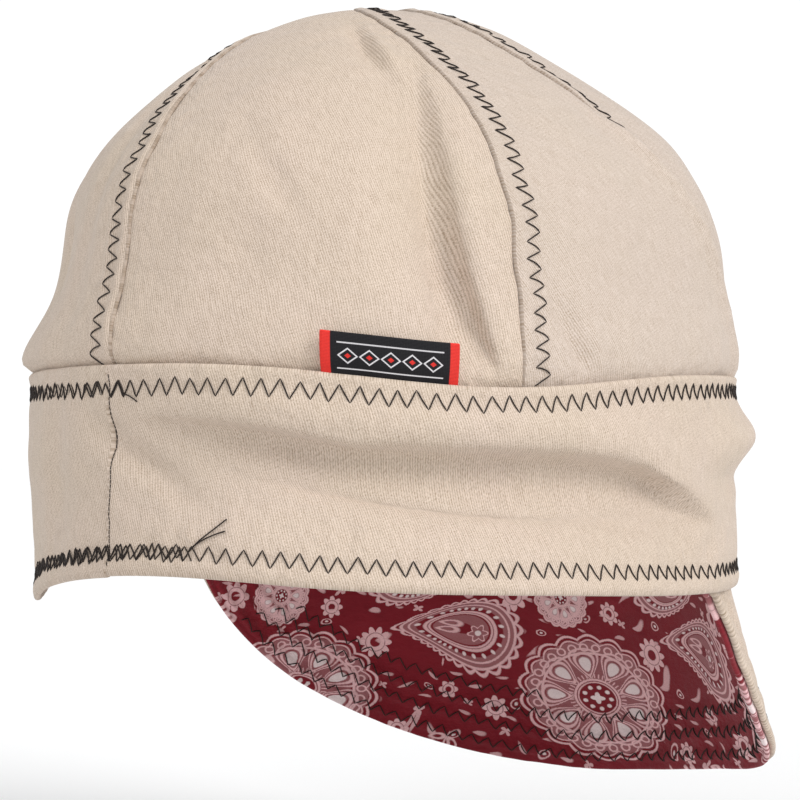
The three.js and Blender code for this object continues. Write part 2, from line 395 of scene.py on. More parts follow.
def nowhere(u: Array, v: Array) -> Array:
    """Nothing at every place of a surface."""
    return np.zeros(np.broadcast(u, v).shape)


def lengths(line: Array) -> Array:
    """How far along a line of points each of them lies."""
    return np.concatenate([[0], np.cumsum(np.linalg.norm(np.diff(line, axis=0), axis=1))])


def turned(x: Any, y: Any, degrees: float) -> tuple[Any, Any]:
    """A place, given along directions that are turned by an angle."""
    c, s = math.cos(degrees * DEGREE), math.sin(degrees * DEGREE)
    return x * c + y * s, y * c - x * s


# The form that the head gives the cap


@dataclass
class CapForm:
    """The cap's bare surfaces, from the same sizes and tables as its solids."""

    rim_half_length: float = 99.5
    rim_half_width: float = 92
    band_height: float = 52
    band_wall: float = 1.8
    band_fold_depth: float = 3.6
    band_edge_wave: float = 6.4
    band_join_step: float = 0.3
    band_join_angle: float = -5.5
    band_join_spread: float = 24
    crown_rise: float = 99
    crown_wall: float = 1.2
    crown_tuck: float = 9
    crown_fold_depth: float = 3.4
    crown_foot_rise: float = 0.022
    seam_wobble: float = 0.35
    bill_drop: float = 69
    bill_flare: float = 15
    bill_outer_wall: float = 2.0
    bill_lining_wall: float = 1.6
    bill_tuck: float = 8
    bill_end_drop: float = 1.6
    bill_fold_depth: float = 5
    bill_bend_height: float = 4
    bill_fullness: float = 0.85
    bill_wave_growth: float = 1.5
    bill_middle_angle: float = 178.5
    bill_half_span: float = 77
    label_width: float = 29.6
    label_height: float = 9.4
    label_wall: float = 0.7
    label_lean: float = 0.9
    label_angle: float = 35
    piece_gap: float = 0.3
    tuck_gap: float = 0.55
    lines: dict[float, tuple[Array, Array, Array]] = field(default_factory=dict)

    def rim_radius(self, angle: Array) -> Array:
        """The rim's outside radius at an angle: an oval, longer from front to back."""
        across = self.rim_half_width * np.cos(angle * DEGREE)
        along = self.rim_half_length * np.sin(angle * DEGREE)
        return self.rim_half_width * self.rim_half_length / np.hypot(across, along)

    def fold_offset(
        self, rows: Iterable[Fold], deepest: float, tall: float, angle: Array, share: Array
    ) -> Array:
        """How far a table of folds pushes a wall out.

        Args:
            rows: The folds.
            deepest: The depth that a fold of depth 1 has.
            tall: The wall's height, of which share is a share.
            angle: The angles round the cap.
            share: The shares of the height.

        Returns:
            The offsets, in millimetres.
        """
        offset = np.zeros(np.broadcast(angle, share).shape)
        for row in rows:
            along = turn_from(row.angle, angle) * DEGREE * self.rim_half_length
            up = (share - row.height) * tall
            run, rise = turned(along, up, row.slope)
            shape = hump(run, row.reach * self.rim_half_length) * hump(rise, row.width * tall)
            offset = offset + row.depth * deepest * shape
        return offset

    def edge_wave(self, rows: Iterable[Wave], angle: Array) -> Array:
        """How far an edge of the band rises above its level line."""
        rise = np.zeros(np.shape(angle))
        for row in rows:
            rise = rise + row.depth * self.band_edge_wave * hump(
                turn_from(row.angle, angle), row.spread
            )
        return rise

    def band_top(self, angle: Array) -> Array:
        """The height of the band's top edge."""
        return self.band_height + self.edge_wave(TOP_EDGE_WAVES, angle)

    def band_bottom(self, angle: Array) -> Array:
        """The height of the band's bottom edge, whose end hangs low at the join."""
        past = turn_from(self.band_join_angle, angle)
        step = np.where(past < 0, self.band_join_step * hump(past, self.band_join_spread), 0)
        return self.edge_wave(BOTTOM_EDGE_WAVES, angle) - step

    def band_tall(self, angle: Array) -> Array:
        """The band's height from its bottom edge to its top edge."""
        return self.band_top(angle) - self.band_bottom(angle)

    def band_offset(self, rows: Iterable[Fold], angle: Array, share: Array) -> Array:
        """How far a table of folds pushes the band out."""
        return self.fold_offset(rows, self.band_fold_depth, self.band_height, angle, share)

    def band_point(self, angle: Array, share: Array) -> Array:
        """A point on the band's outside at a share of its height."""
        angle, share = np.broadcast_arrays(np.asarray(angle, float), np.asarray(share, float))
        radius = self.rim_radius(angle) + self.band_offset(BAND_FOLDS, angle, share)
        point = outward(angle) * radius[..., None]
        low = self.band_bottom(angle)
        point[..., 2] = low + share * (self.band_top(angle) - low)
        return point

    def inside_band(self, angle: Array, share: Array) -> Array:
        """A point on what is tucked inside the band."""
        return sunk(self.band_point, self.band_wall + self.tuck_gap)(angle, share)

    def edge_line(self, share: float) -> tuple[Array, Array, Array]:
        """The angles, radii and heights of what is tucked inside the band, all round at a share."""
        if share not in self.lines:
            angle = np.arange(0, 360, 0.25)
            point = self.inside_band(angle, np.full_like(angle, share))
            self.lines[share] = (angle, np.hypot(point[:, 0], point[:, 1]), point[:, 2])
        return self.lines[share]

    def edge(self, angle: Array, share: float) -> tuple[Array, Array]:
        """The radius and height of what is tucked inside the band at its top or bottom edge."""
        turns, radius, height = self.edge_line(share)
        return (
            np.interp(angle, turns, radius, period=360),
            np.interp(angle, turns, height, period=360),
        )

    def crown_offset(self, angle: Array, rise: Array) -> Array:
        """How far the crown's rings and dents push it out."""
        offset = self.fold_offset(CROWN_FOLDS, self.crown_fold_depth, self.crown_rise, angle, rise)
        for ring in CROWN_RINGS:
            offset = offset + ring.depth * self.crown_fold_depth * hump(
                rise - ring.height, ring.width
            )
        return offset * np.sqrt(np.maximum(0, 1 - rise * rise))

    def crown_point(self, angle: Array, climb: Array) -> Array:
        """A point on the crown's outside.

        Args:
            angle: The angles round the cap.
            climb: The climb in degrees: 0 at the band's top edge, 90 at the middle of the top.

        Returns:
            The points.
        """
        angle, climb = np.broadcast_arrays(np.asarray(angle, float), np.asarray(climb, float))
        base, foot = self.edge(angle, 1.0)
        rise = np.sin(climb * DEGREE)
        top = self.band_height + self.crown_rise
        seat = self.crown_offset(angle, np.zeros_like(angle)) * hump(rise, self.crown_foot_rise)
        radius = base * np.cos(climb * DEGREE) + self.crown_offset(angle, rise) - seat
        point = outward(angle) * radius[..., None]
        point[..., 2] = foot + rise * (top - foot)
        return point

    def seam_angle(self, seam: Seam, climb: Array) -> Array:
        """The angle of a seam at a climb: it turns more as it nears the top."""
        wobble = self.seam_wobble * soft_noise(np.asarray(climb) / 5.5, 0.0, seam.angle)
        turned = seam.lean * (1 - np.cos(climb * DEGREE)) ** seam.delay
        return seam.angle + turned + wobble * ramp(climb, 3, 10)

    def bill_depth(self, turn: Array) -> Array:
        """How far the bill's free edge hangs below the rim at a turn from its middle."""
        share = np.minimum(1, np.abs(turn) / self.bill_half_span)
        full = 1 - share * share
        drop = self.bill_drop * full**self.bill_fullness
        for row in BILL_EDGE_DROPS:
            drop = drop + row.depth * self.bill_fold_depth * hump(
                turn - row.angle, row.spread
            ) * np.sqrt(full)
        return drop

    def bill_hang(self, turn: Array) -> Array:
        """The length from the band's bottom edge down to the bill's free edge."""
        _radius, height = self.edge(self.bill_middle_angle + turn, 0.0)
        return np.maximum(self.bill_depth(turn) + height, self.bill_end_drop)

    def bill_point(self, turn: Array, v: Array) -> Array:
        """A point on the bill's outside: v is 0 at the free edge, 1 at the rim and 2 in the band."""
        turn, v = np.broadcast_arrays(np.asarray(turn, float), np.asarray(v, float))
        angle = self.bill_middle_angle + turn
        tucked = self.inside_band(angle, np.maximum(0, v - 1) * self.bill_tuck / self.band_height)
        base, height = self.edge(angle, 0.0)
        hang = np.maximum(0, 1 - v) * self.bill_hang(turn)
        wave = np.zeros_like(hang)
        for row in BILL_WAVES:
            wave = wave + row.depth * self.bill_fold_depth * hump(turn - row.angle, row.spread)
        lean = math.tan(self.bill_flare * DEGREE) * hang * hang / (hang + self.bill_bend_height)
        grown = wave * (hang / self.bill_drop) ** self.bill_wave_growth
        hanging = outward(angle) * (base + lean + grown)[..., None]
        hanging[..., 2] = height - hang
        return np.where((v >= 1)[..., None], tucked, hanging)


# Shader nodes written as expressions


def operation(name: str, flip: bool = False) -> Callable[..., "Shade"]:
    """A method of shades that one Math node works out.

    Args:
        name: The node's operation.
        flip: Whether the shade itself comes second.

    Returns:
        The method.
    """
    return lambda shade, *others: shade.math(name, *others, flip=flip)


class Shade:
    """A number in a material. Python's operators on it add the nodes that work it out."""

    __add__ = __radd__ = operation("ADD")
    __sub__ = operation("SUBTRACT")
    __rsub__ = operation("SUBTRACT", flip=True)
    __mul__ = __rmul__ = operation("MULTIPLY")
    __truediv__ = operation("DIVIDE")
    __abs__ = operation("ABSOLUTE")
    at_least = operation("MAXIMUM")
    root = operation("SQRT")
    sine = operation("SINE")
    cosine = operation("COSINE")

    def __init__(self, ink: "Ink", socket: bpy.types.NodeSocket) -> None:
        """Wraps a socket of a material."""
        self.ink = ink
        self.socket = socket

    def math(self, operation: str, *others: Any, flip: bool = False) -> "Shade":
        """Adds one Math node.

        Args:
            operation: The node's operation.
            others: The other values, numbers or shades.
            flip: Whether this value comes second.

        Returns:
            The result.
        """
        values = [self, *others]
        if flip:
            values[0], values[1] = values[1], values[0]
        made = self.ink.node("ShaderNodeMath", {"operation": operation}, dict(enumerate(values)))
        return Shade(self.ink, made.outputs[0])

    def wrapped(self, half: float) -> "Shade":
        """The value brought into the range from -half to half, as a pattern repeats."""
        return self.math("WRAP", half, -half)

    def inside(self, blur: float) -> "Shade":
        """1 where the value is below 0 and 0 above, blurred over a small width."""
        made = self.ink.node(
            "ShaderNodeMapRange",
            {"interpolation_type": "SMOOTHSTEP"},
            {"Value": self, "From Min": blur, "From Max": -blur},
        )
        return Shade(self.ink, made.outputs[0])

    def line(self, half: float, blur: float) -> "Shade":
        """1 within half a line's width of the value 0."""
        return (abs(self) - half).inside(blur)


def most(*marks: Shade) -> Shade:
    """The largest of several marks at each place."""
    return reduce(Shade.at_least, marks)


class Ink:
    """A material's node tree, and the one way in which this file adds nodes to it."""

    def __init__(self, name: str) -> None:
        """Makes a new material of that name with an empty tree."""
        self.material = bpy.data.materials.new(name)
        self.material.use_nodes = True
        self.tree = self.material.node_tree
        self.tree.nodes.clear()

    def node(self, kind: str, settings: dict[str, Any], inputs: dict[Any, Any]) -> bpy.types.Node:
        """Adds a node.

        Args:
            kind: The node's type.
            settings: Its settings, which are set first.
            inputs: Its sockets' values or links, by name or number.

        Returns:
            The node.
        """
        made = self.tree.nodes.new(kind)
        for name, value in settings.items():
            setattr(made, name, value)
        for key, value in inputs.items():
            source = value.socket if isinstance(value, Shade) else value
            if isinstance(source, bpy.types.NodeSocket):
                self.tree.links.new(source, made.inputs[key])
            else:
                made.inputs[key].default_value = source
        return made

    def cloth_place(self) -> tuple[Shade, Shade]:
        """The place on the flat cloth, in millimetres along its two edges."""
        place = self.node("ShaderNodeUVMap", {"uv_map": "cloth"}, {})
        split = self.node("ShaderNodeSeparateXYZ", {}, {0: place.outputs[0]})
        return Shade(self, split.outputs[0]), Shade(self, split.outputs[1])

    def attribute(self, name: str) -> Shade:
        """A number that the mesh keeps at each of its points."""
        made = self.node("ShaderNodeAttribute", {"attribute_name": name}, {})
        return Shade(self, made.outputs["Fac"])

    def noise(self, x: Any, y: Any, detail: float = 2.0, z: Any = 0.0) -> Shade:
        """Uneven noise from 0 to 1 at a place, one unit to a lump."""
        place = self.node("ShaderNodeCombineXYZ", {}, {0: x, 1: y, 2: z})
        made = self.node(
            "ShaderNodeTexNoise", {}, {"Vector": place.outputs[0], "Scale": 1.0, "Detail": detail}
        )
        return Shade(self, made.outputs[0])

    def mix(self, share: Any, first: Any, second: Any) -> bpy.types.NodeSocket:
        """Mixes two colours.

        Args:
            share: How much of the second there is.
            first: The first colour, or a link to one.
            second: The second colour, or a link to one.

        Returns:
            The socket of the mixed colour.
        """
        made = self.node(
            "ShaderNodeMix",
            {"data_type": "RGBA", "clamp_factor": True},
            {0: share, 6: first, 7: second},
        )
        return made.outputs[2]

    def bump(self, height: Shade) -> bpy.types.NodeSocket:
        """The normals that a height in millimetres gives."""
        made = self.node(
            "ShaderNodeBump", {}, {"Strength": 1.0, "Distance": METRES, "Height": height}
        )
        return made.outputs[0]

    def finish(self, **sockets: Any) -> bpy.types.Material:
        """Adds the surface shader with its sockets set, names with _ for spaces."""
        inputs = {name.replace("_", " "): value for name, value in sockets.items()}
        shader = self.node("ShaderNodeBsdfPrincipled", {}, inputs)
        self.node("ShaderNodeOutputMaterial", {}, {0: shader.outputs[0]})
        return self.material


def tint(code: int) -> tuple[float, float, float, float]:
    """A colour given as 0xRRGGBB, as the linear colour that a shader takes."""
    parts = [(code >> shift & 255) / 255 for shift in (16, 8, 0)]
    linear = [p / 12.92 if p <= 0.04045 else ((p + 0.055) / 1.055) ** 2.4 for p in parts]
    return (*linear, 1.0)


# Finishes


@dataclass(frozen=True)
class TwillFinish:
    """Khaki cotton twill: fine slanting ribs, small slubs and soft creases."""

    name: str = "khaki_twill"
    colour: int = 0xD2C2B0
    # The colour of the painted shade in the rib furrows, and of the darker yarn flecks and slubs.
    shadow_colour: int = 0x9D8A76
    warm_colour: int = 0xD6C4B7
    pale_colour: int = 0xCABEB6
    # The colour of the painted shade down in the seams, along the band's join and at its foot.
    crease_shade_colour: int = 0x5E4A38
    rib_pitch: float = 0.58
    rib_slope: float = 72.0
    rib_height: float = 0.04

    def make(self) -> bpy.types.Material:
        """Builds the material."""
        ink = Ink(self.name)
        x, y = ink.cloth_place()
        lean = self.rib_slope * DEGREE
        across = x * math.sin(lean) + y * math.cos(lean)
        along = y * math.sin(lean) - x * math.cos(lean)
        drift = ink.noise(across * 0.35, along * 0.12, 1.0) * 1.6
        rib = (across * (2 * math.pi / self.rib_pitch) + drift).sine() * 0.5 + 0.5
        yarn = (along * (2 * math.pi / (self.rib_pitch * 1.5)) + rib * 2.2).sine() * 0.5 + 0.5
        weave = rib * 0.72 + rib * yarn * 0.28
        slub = ink.noise(across * 1.9, along * 0.28, 2.0)
        fleck = ink.noise(across * 4.6, along * 3.0, 2.0, 3.0)
        cloud = ink.noise(x * 0.028, y * 0.028, 3.0, 11.0)
        colour = ink.mix(cloud * 1.8 - 0.4, tint(self.colour), tint(self.warm_colour))
        colour = ink.mix(ink.attribute("paleness"), colour, tint(self.pale_colour))
        # Painted shade and yarn tone: the furrows between the ribs are mixed towards the shadow colour
        # as if shaded, and the flecks and slubs add the yarn's own uneven tone.
        furrow_shade_and_fleck = (1 - weave) * 0.62 + (fleck - 0.5) * 2.3 + (slub - 0.5) * 0.8 - 0.02
        colour = ink.mix(furrow_shade_and_fleck, colour, tint(self.shadow_colour))
        # Painted shade: the mesh's crease attribute darkens the cloth down in the seams, along the
        # band's join and at its foot, where shade falls.
        colour = ink.mix(ink.attribute("crease"), colour, tint(self.crease_shade_colour))
        pucker = ink.attribute("pucker")
        small = ink.noise(x * 0.31, y * 0.31, 3.0, 5.0)
        soft = ink.noise(x * 0.085, y * 0.12, 3.0, 9.0)
        height = weave * self.rib_height + fleck * 0.05 + soft * 1.1 + small * (pucker * 0.75 + 0.1)
        return ink.finish(
            Base_Color=colour,
            Roughness=0.86 - weave * 0.06,
            Normal=ink.bump(height),
            Sheen_Weight=0.18,
            Sheen_Roughness=0.45,
            Specular_IOR_Level=0.25,
        )


@dataclass(frozen=True)
class BandanaPrint:
    """Soft burgundy cotton with a traditional bandana print of medallions, paisleys and flowers."""

    name: str = "bandana_cotton"
    ground_colour: int = 0x8E1D2B
    deep_colour: int = 0x6C111D
    line_colour: int = 0xECC2C4
    petal_colour: int = 0xF2E2E2
    repeat_width: float = 96.0
    repeat_height: float = 68.0
    filler_width: float = 10.5
    filler_height: float = 8.5
    filler_turn: float = 27.0
    blur: float = 0.17

    def polar(self, x: Shade, y: Shade) -> tuple[Shade, Shade]:
        """The distance from a motif's middle and the direction in radians."""
        return (x * x + y * y).root(), y.math("ARCTAN2", x)

    def beads(self, level: Shade, r: Shade, way: Shade, count: int, size: float) -> Shade:
        """Round beads in a ring along the curve where level is 0.

        Args:
            level: The distance from that curve.
            r: The distance from the motif's middle.
            way: The direction from the motif's middle.
            count: How many beads there are.
            size: A bead's radius.

        Returns:
            The distance from the nearest bead's rim.
        """
        side = way.wrapped(math.pi / count) * r
        return (level * level + side * side).root() - size

    def leaf(self, x: Shade, y: Shade, long: float, wide: float, taper: float) -> Shade:
        """The distance from a teardrop's rim, wider towards -x with taper."""
        return (
            (x * x * (1 / long**2) + (y / (wide - x * taper)).math("POWER", 2.0)).root() - 1
        ) * min(long, wide)

    def medallion(self, x: Shade, y: Shade, big: float) -> tuple[Shade, Shade, Shade]:
        """A round medallion: scallops, beads, ticks and petals.

        Args:
            x: The place across from its middle.
            y: The place up from its middle.
            big: Its radius.

        Returns:
            How much of the line colour, of the petal colour and of the motif there is.
        """
        blur = self.blur
        r, way = self.polar(x, y)
        edge = r - abs((way * 9).sine()) * (big * 0.075) - big * 0.92
        shells = self.beads(r - big * 0.8, r, way, 30, big * 0.052)
        turn = way.wrapped(math.pi / 9)
        px, py = big * 0.535 - r * turn.cosine(), r * turn.sine()
        petal = self.leaf(px, py, big * 0.115, big * 0.075, 0.25)
        ticks = (abs(way.wrapped(math.pi / 40) * r) - 0.2).inside(blur)
        heart = r - (way * 4).cosine() * (big * 0.022) - big * 0.075
        lines = most(
            edge.line(0.38, blur),
            (edge + big * 0.075).line(0.25, blur),
            shells.line(0.28, blur),
            (r - big * 0.71).line(0.36, blur),
            (petal - big * 0.04).line(0.31, blur),
            (petal - big * 0.085).line(0.22, blur),
            ticks * (r - big * 0.35).line(big * 0.035, blur),
            (r - big * 0.29).line(0.34, blur),
            (r - big * 0.25).line(0.2, blur),
            (r - big * 0.81).line(big * 0.085, blur) * 0.24,
            (r - big * 0.47).line(big * 0.2, blur) * 0.2,
        )
        petals = most(
            petal.inside(blur),
            self.beads(r - big * 0.175, r, way + 0.3, 9, big * 0.03).inside(blur),
            heart.inside(blur),
        )
        return lines, petals, (edge - 1.1).inside(0.5)

    def paisley(self, x: Shade, y: Shade, big: float) -> tuple[Shade, Shade, Shade]:
        """A curled drop with a scalloped rim, beads and a flower in its bowl.

        Args:
            x: The place across from its middle.
            y: The place up from its middle, towards the drop's tip.
            big: Half its length.

        Returns:
            How much of the line colour, of the petal colour and of the motif there is.
        """
        blur = self.blur
        bent = x - (y + big * 0.55).at_least(0.0).math("POWER", 2.0) * (0.28 / big)
        r, way = self.polar(bent, y)
        edge = self.leaf(y, bent, big, big * 0.6, 0.36)
        rim = edge - abs((way * 13).sine()) * 0.95
        beads = self.beads(edge + big * 0.16, r, way, 24, 0.52)
        r, way = self.polar(bent, y + big * 0.3)
        bloom = r - (way * 6).cosine() * (big * 0.035) - big * 0.14
        sprout = self.leaf(y - big * 0.22, abs(bent) - big * 0.07, big * 0.16, big * 0.05, 0.1)
        lines = most(
            rim.line(0.38, blur),
            (edge + 0.3).line(0.28, blur),
            (edge + 1.5).line(0.22, blur),
            (edge + big * 0.235).line(0.34, blur),
            (edge + big * 0.275).line(0.2, blur),
            bloom.line(0.28, blur),
            sprout.line(0.28, blur),
            (edge + big * 0.09).line(big * 0.06, blur) * 0.25,
            (edge + big * 0.4).line(big * 0.09, blur) * 0.24,
        )
        petals = beads.inside(blur).at_least((r - big * 0.055).inside(blur))
        return lines, petals, (edge - 1.6).inside(0.5)

    def filler(self, x: Shade, y: Shade) -> tuple[Shade, Shade]:
        """The small things strewn between the motifs: ringed dots, crosses and leaves.

        Args:
            x: The place across the cloth.
            y: The place up the cloth.

        Returns:
            How much of the line colour and of the petal colour there is.
        """
        blur = self.blur
        wide, tall = self.filler_width, self.filler_height
        r, _way = self.polar(x.wrapped(wide), y.wrapped(tall))
        petals = (r - 0.5).inside(blur)
        lines = (r - 1.45).line(0.2, blur)
        r, way = self.polar((x + wide).wrapped(wide), (y + tall).wrapped(tall))
        lines = lines.at_least((r - abs((way * 2).cosine()) * 1.5 - 0.35).inside(blur) * 0.85)
        px, py = (x + wide / 2).wrapped(wide / 2), (y + tall / 2).wrapped(tall / 2)
        leaf = self.leaf(px * 0.8 + py * 0.6, py * 0.8 - px * 0.6, 1.9, 0.75, 0.15)
        return lines.at_least(leaf.inside(blur) * 0.8), petals

    def flower(self, x: Shade, y: Shade, big: float, count: int) -> Shade:
        """A small flower of pointed petals round an open eye."""
        r, way = self.polar(x, y)
        rim = r - abs((way * (count / 2)).cosine()) * (big * 0.36) - big * 0.6
        return rim.inside(self.blur) * (1 - (r - big * 0.3).inside(self.blur)) * (
            1 - (r - big * 0.56).line(0.13, self.blur) * 0.8
        )

    def sprig(self, x: Shade, y: Shade) -> Shade:
        """A stem with two leaves and a bud."""
        blur = self.blur
        fork = abs(x)
        stem = x.line(0.28, blur) * (y + 0.6).line(3.4, blur)
        leaf = self.leaf(fork + y * 0.6 - 2.3, y - fork * 0.6 + 2.0, 2.3, 1.0, 0.12)
        bud = self.leaf(y - 4.1, x, 1.9, 1.2, 0.2)
        mask = stem.at_least(leaf.line(0.34, blur))
        return mask.at_least(bud.line(0.36, blur)).at_least((bud + 0.75).inside(blur))

    def make(self) -> bpy.types.Material:
        """Builds the material."""
        ink = Ink(self.name)
        x, y = ink.cloth_place()
        half_w, half_h = self.repeat_width / 2, self.repeat_height / 2
        fuzz = ink.noise(x * 1.7, y * 1.7, 1.0, 2.0) - 0.5
        x, y = x + fuzz * 0.3, y + fuzz * 0.3

        def local(right: float, up: float, turn: float = 0.0, wide: float = 1.0) -> Any:
            """The place seen from a motif's middle, turned and widened."""
            px, py = (x - right).wrapped(half_w), (y - up).wrapped(half_h)
            if turn:
                px, py = turned(px, py, turn)
            return (px / wide if wide != 1 else px), py

        motifs = (
            self.medallion(*local(-6, -44, 0, 1.28), 20.5),
            self.paisley(*local(36, -22, -58), 17.5),
            self.paisley(*local(-44, -8, 118), 14.5),
            self.medallion(*local(2, -12, 20), 9.6),
        )
        flowers = (
            (19, -12, 5.4, 8),
            (-16, -16, 3.9, 8),
            (-31, -28, 5.6, 10),
            (28, -50, 4.4, 8),
            (-38, -58, 3.8, 8),
            (42, -44, 3.1, 6),
        )
        lines, petals, cover = (most(*marks) for marks in zip(*motifs))
        bend = (ink.noise(x * 0.045, y * 0.045, 1.0, 13.0) - 0.5) * 26
        across, along = turned(x, y, -self.filler_turn)
        small, dots = self.filler(across + bend, along - bend * 0.7)
        petals = petals.at_least(dots * (1 - cover))
        lines = most(
            lines,
            small * (1 - cover),
            *(self.flower(*local(right, up), big, count) for right, up, big, count in flowers),
            self.sprig(*local(-22, -3, 24)),
            self.sprig(*local(44, -62, -150)),
        )
        x, y = ink.cloth_place()
        wear = ink.noise(x * 2.4, y * 2.4, 2.0, 4.0)
        broad = ink.noise(x * 0.05, y * 0.05, 2.0, 8.0)
        nap = ink.noise(x * 5.5, y * 2.2, 2.0, 6.0)
        colour = ink.mix(broad * 0.6 + nap * 0.5 - 0.1, tint(self.deep_colour), tint(self.ground_colour))
        colour = ink.mix(lines * (wear * 0.6 + 0.62), colour, tint(self.line_colour))
        colour = ink.mix(petals * (wear * 0.4 + 0.7), colour, tint(self.petal_colour))
        weave = (x * (2 * math.pi / 0.5)).sine() * (y * (2 * math.pi / 0.5)).sine()
        soft = ink.noise(x * 0.1, y * 0.14, 3.0, 9.0)
        small = ink.noise(x * 0.33, y * 0.33, 3.0, 5.0) * (ink.attribute("pucker") * 0.8 + 0.15)
        height = weave * 0.03 + nap * 0.1 + soft * 1.0 + small
        return ink.finish(
            Base_Color=colour,
            Roughness=0.94 - nap * 0.05,
            Normal=ink.bump(height),
            Sheen_Weight=0.12,
            Sheen_Roughness=0.6,
            Specular_IOR_Level=0.15,
        )


@dataclass(frozen=True)
class ThreadFinish:
    """Black polyester sewing thread, two plies twisted together."""

    name: str = "black_thread"
    colour: int = 0x170E0A
    # The lighter colour is a painted highlight along the crests of the twist.
    light_colour: int = 0x30221A
    twist_pitch: float = 0.7

    def make(self) -> bpy.types.Material:
        """Builds the material."""
        ink = Ink(self.name)
        x, y = ink.cloth_place()
        twist = ((x / self.twist_pitch + y) * (2 * math.pi)).sine() * 0.5 + 0.5
        # Painted highlight: the twist's crests are mixed towards the lighter colour, standing in for
        # sheen on the plies.
        colour = ink.mix(twist * 0.6, tint(self.colour), tint(self.light_colour))
        return ink.finish(
            Base_Color=colour,
            Roughness=0.62 - twist * 0.1,
            Normal=ink.bump(twist * 0.06),
            Specular_IOR_Level=0.35,
        )


@dataclass(frozen=True)
class TapeFinish:
    """Woven black tape with red ends and a row of small lozenges."""

    name: str = "label_weave"
    black: int = 0x141317
    red: int = 0xE2322A
    pale: int = 0xE6E3E6
    # The colour of the painted shade between the woven ribs, and of the yarn's darker flecks.
    furrow_shade_and_fleck: int = 0x121013
    width: float = 29.6
    height: float = 9.4
    end_width: float = 1.9
    lozenge_pitch: float = 4.6
    blur: float = 0.09

    def make(self) -> bpy.types.Material:
        """Builds the material."""
        ink = Ink(self.name)
        x, y = ink.cloth_place()
        blur = self.blur
        ends = 1 - (abs(x) - (self.width / 2 - self.end_width)).inside(blur)
        middle = y - self.height / 2
        field_mask = (abs(x) - self.lozenge_pitch * 2.5).inside(0.05)
        cell = x.wrapped(self.lozenge_pitch / 2)
        lozenge = abs(cell) * 0.78 + abs(middle) - 1.55
        pale = lozenge.line(0.17, blur) * field_mask
        pale = pale.at_least((abs(middle) - 2.75).line(0.13, blur) * field_mask)
        red = (lozenge + 1.0).inside(blur) * field_mask
        colour = ink.mix(ends.at_least(red), tint(self.black), tint(self.red))
        colour = ink.mix(pale, colour, tint(self.pale))
        ribs = (y * (2 * math.pi / 0.3)).sine() * 0.5 + 0.5
        ends_up = (x * (2 * math.pi / 0.34)).sine() * 0.5 + 0.5
        fleck = ink.noise(x * 4.0, y * 4.0, 2.0)
        # Painted shade and fleck: the furrows between the woven ribs are mixed towards the darker colour
        # as if shaded, with flecks of the yarn's own tone.
        colour = ink.mix((1 - ribs) * 0.25 + (fleck - 0.5) * 0.3, colour, tint(self.furrow_shade_and_fleck))
        return ink.finish(
            Base_Color=colour,
            Roughness=0.66 - ribs * 0.12,
            Normal=ink.bump(ribs * 0.05 + ends_up * 0.03 + fleck * 0.04),
            Sheen_Weight=0.05,
            Specular_IOR_Level=0.2,
        )


@dataclass(frozen=True)
class FloorFinish:
    """Plain white studio floor."""

    name: str = "studio_floor"
    colour: int = 0xFCFCFC

    def make(self) -> bpy.types.Material:
        """Builds the material."""
        return Ink(self.name).finish(
            Base_Color=tint(self.colour), Roughness=0.9, Specular_IOR_Level=0.1
        )


class Cloth(Enum):
    """The finishes that the cap's pieces take."""

    TWILL = TwillFinish()
    PRINT = BandanaPrint()
    THREAD = ThreadFinish()
    TAPE = TapeFinish()
    FLOOR = FloorFinish()

    def material(self) -> bpy.types.Material:
        """The finish's material, made on its first use."""
        return bpy.data.materials.get(self.value.name) or self.value.make()


# Meshes


def placed(name: str, data: bpy.types.ID) -> bpy.types.Object:
    """A new object, linked to the scene."""
    made = bpy.data.objects.new(name, data)
    bpy.context.scene.collection.objects.link(made)
    return made


@dataclass
class MeshParts:
    """Points, faces, cloth places and kept numbers that become one mesh."""

    points: list[Array] = field(default_factory=list)
    faces: list[Array] = field(default_factory=list)
    places: list[Array] = field(default_factory=list)
    kept: dict[str, list[Array]] = field(default_factory=dict)
    count: int = 0

    def add(self, points: Array, faces: Array, places: Array, **kept: Array) -> None:
        """Adds points in millimetres, four-cornered faces among them, and what goes with them."""
        self.points.append(points)
        self.faces.append(faces + self.count)
        self.places.append(places)
        for name, values in kept.items():
            self.kept.setdefault(name, []).append(values)
        self.count += len(points)

    def build(self, name: str, finish: Cloth) -> bpy.types.Object:
        """Makes the object.

        Args:
            name: The object's name.
            finish: The finish it takes.

        Returns:
            The object, linked to the scene and riding on the cap.
        """
        points = np.concatenate(self.points) * METRES
        faces = np.concatenate(self.faces)
        mesh = bpy.data.meshes.new(name)
        mesh.from_pydata(points.tolist(), [], faces.tolist())
        mesh.polygons.foreach_set("use_smooth", np.ones(len(mesh.polygons), bool))
        corners = np.zeros(len(mesh.loops), np.int32)
        mesh.loops.foreach_get("vertex_index", corners)
        layer = mesh.uv_layers.new(name="cloth")
        layer.data.foreach_set("uv", np.concatenate(self.places)[corners].astype(np.float32).ravel())
        for key, values in self.kept.items():
            attribute = mesh.attributes.new(key, "FLOAT", "POINT")
            attribute.data.foreach_set("value", np.concatenate(values).astype(np.float32))
        mesh.validate()
        mesh.update()
        piece = placed(name, mesh)
        piece.data.materials.append(finish.material())
        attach(piece, "root")
        return piece


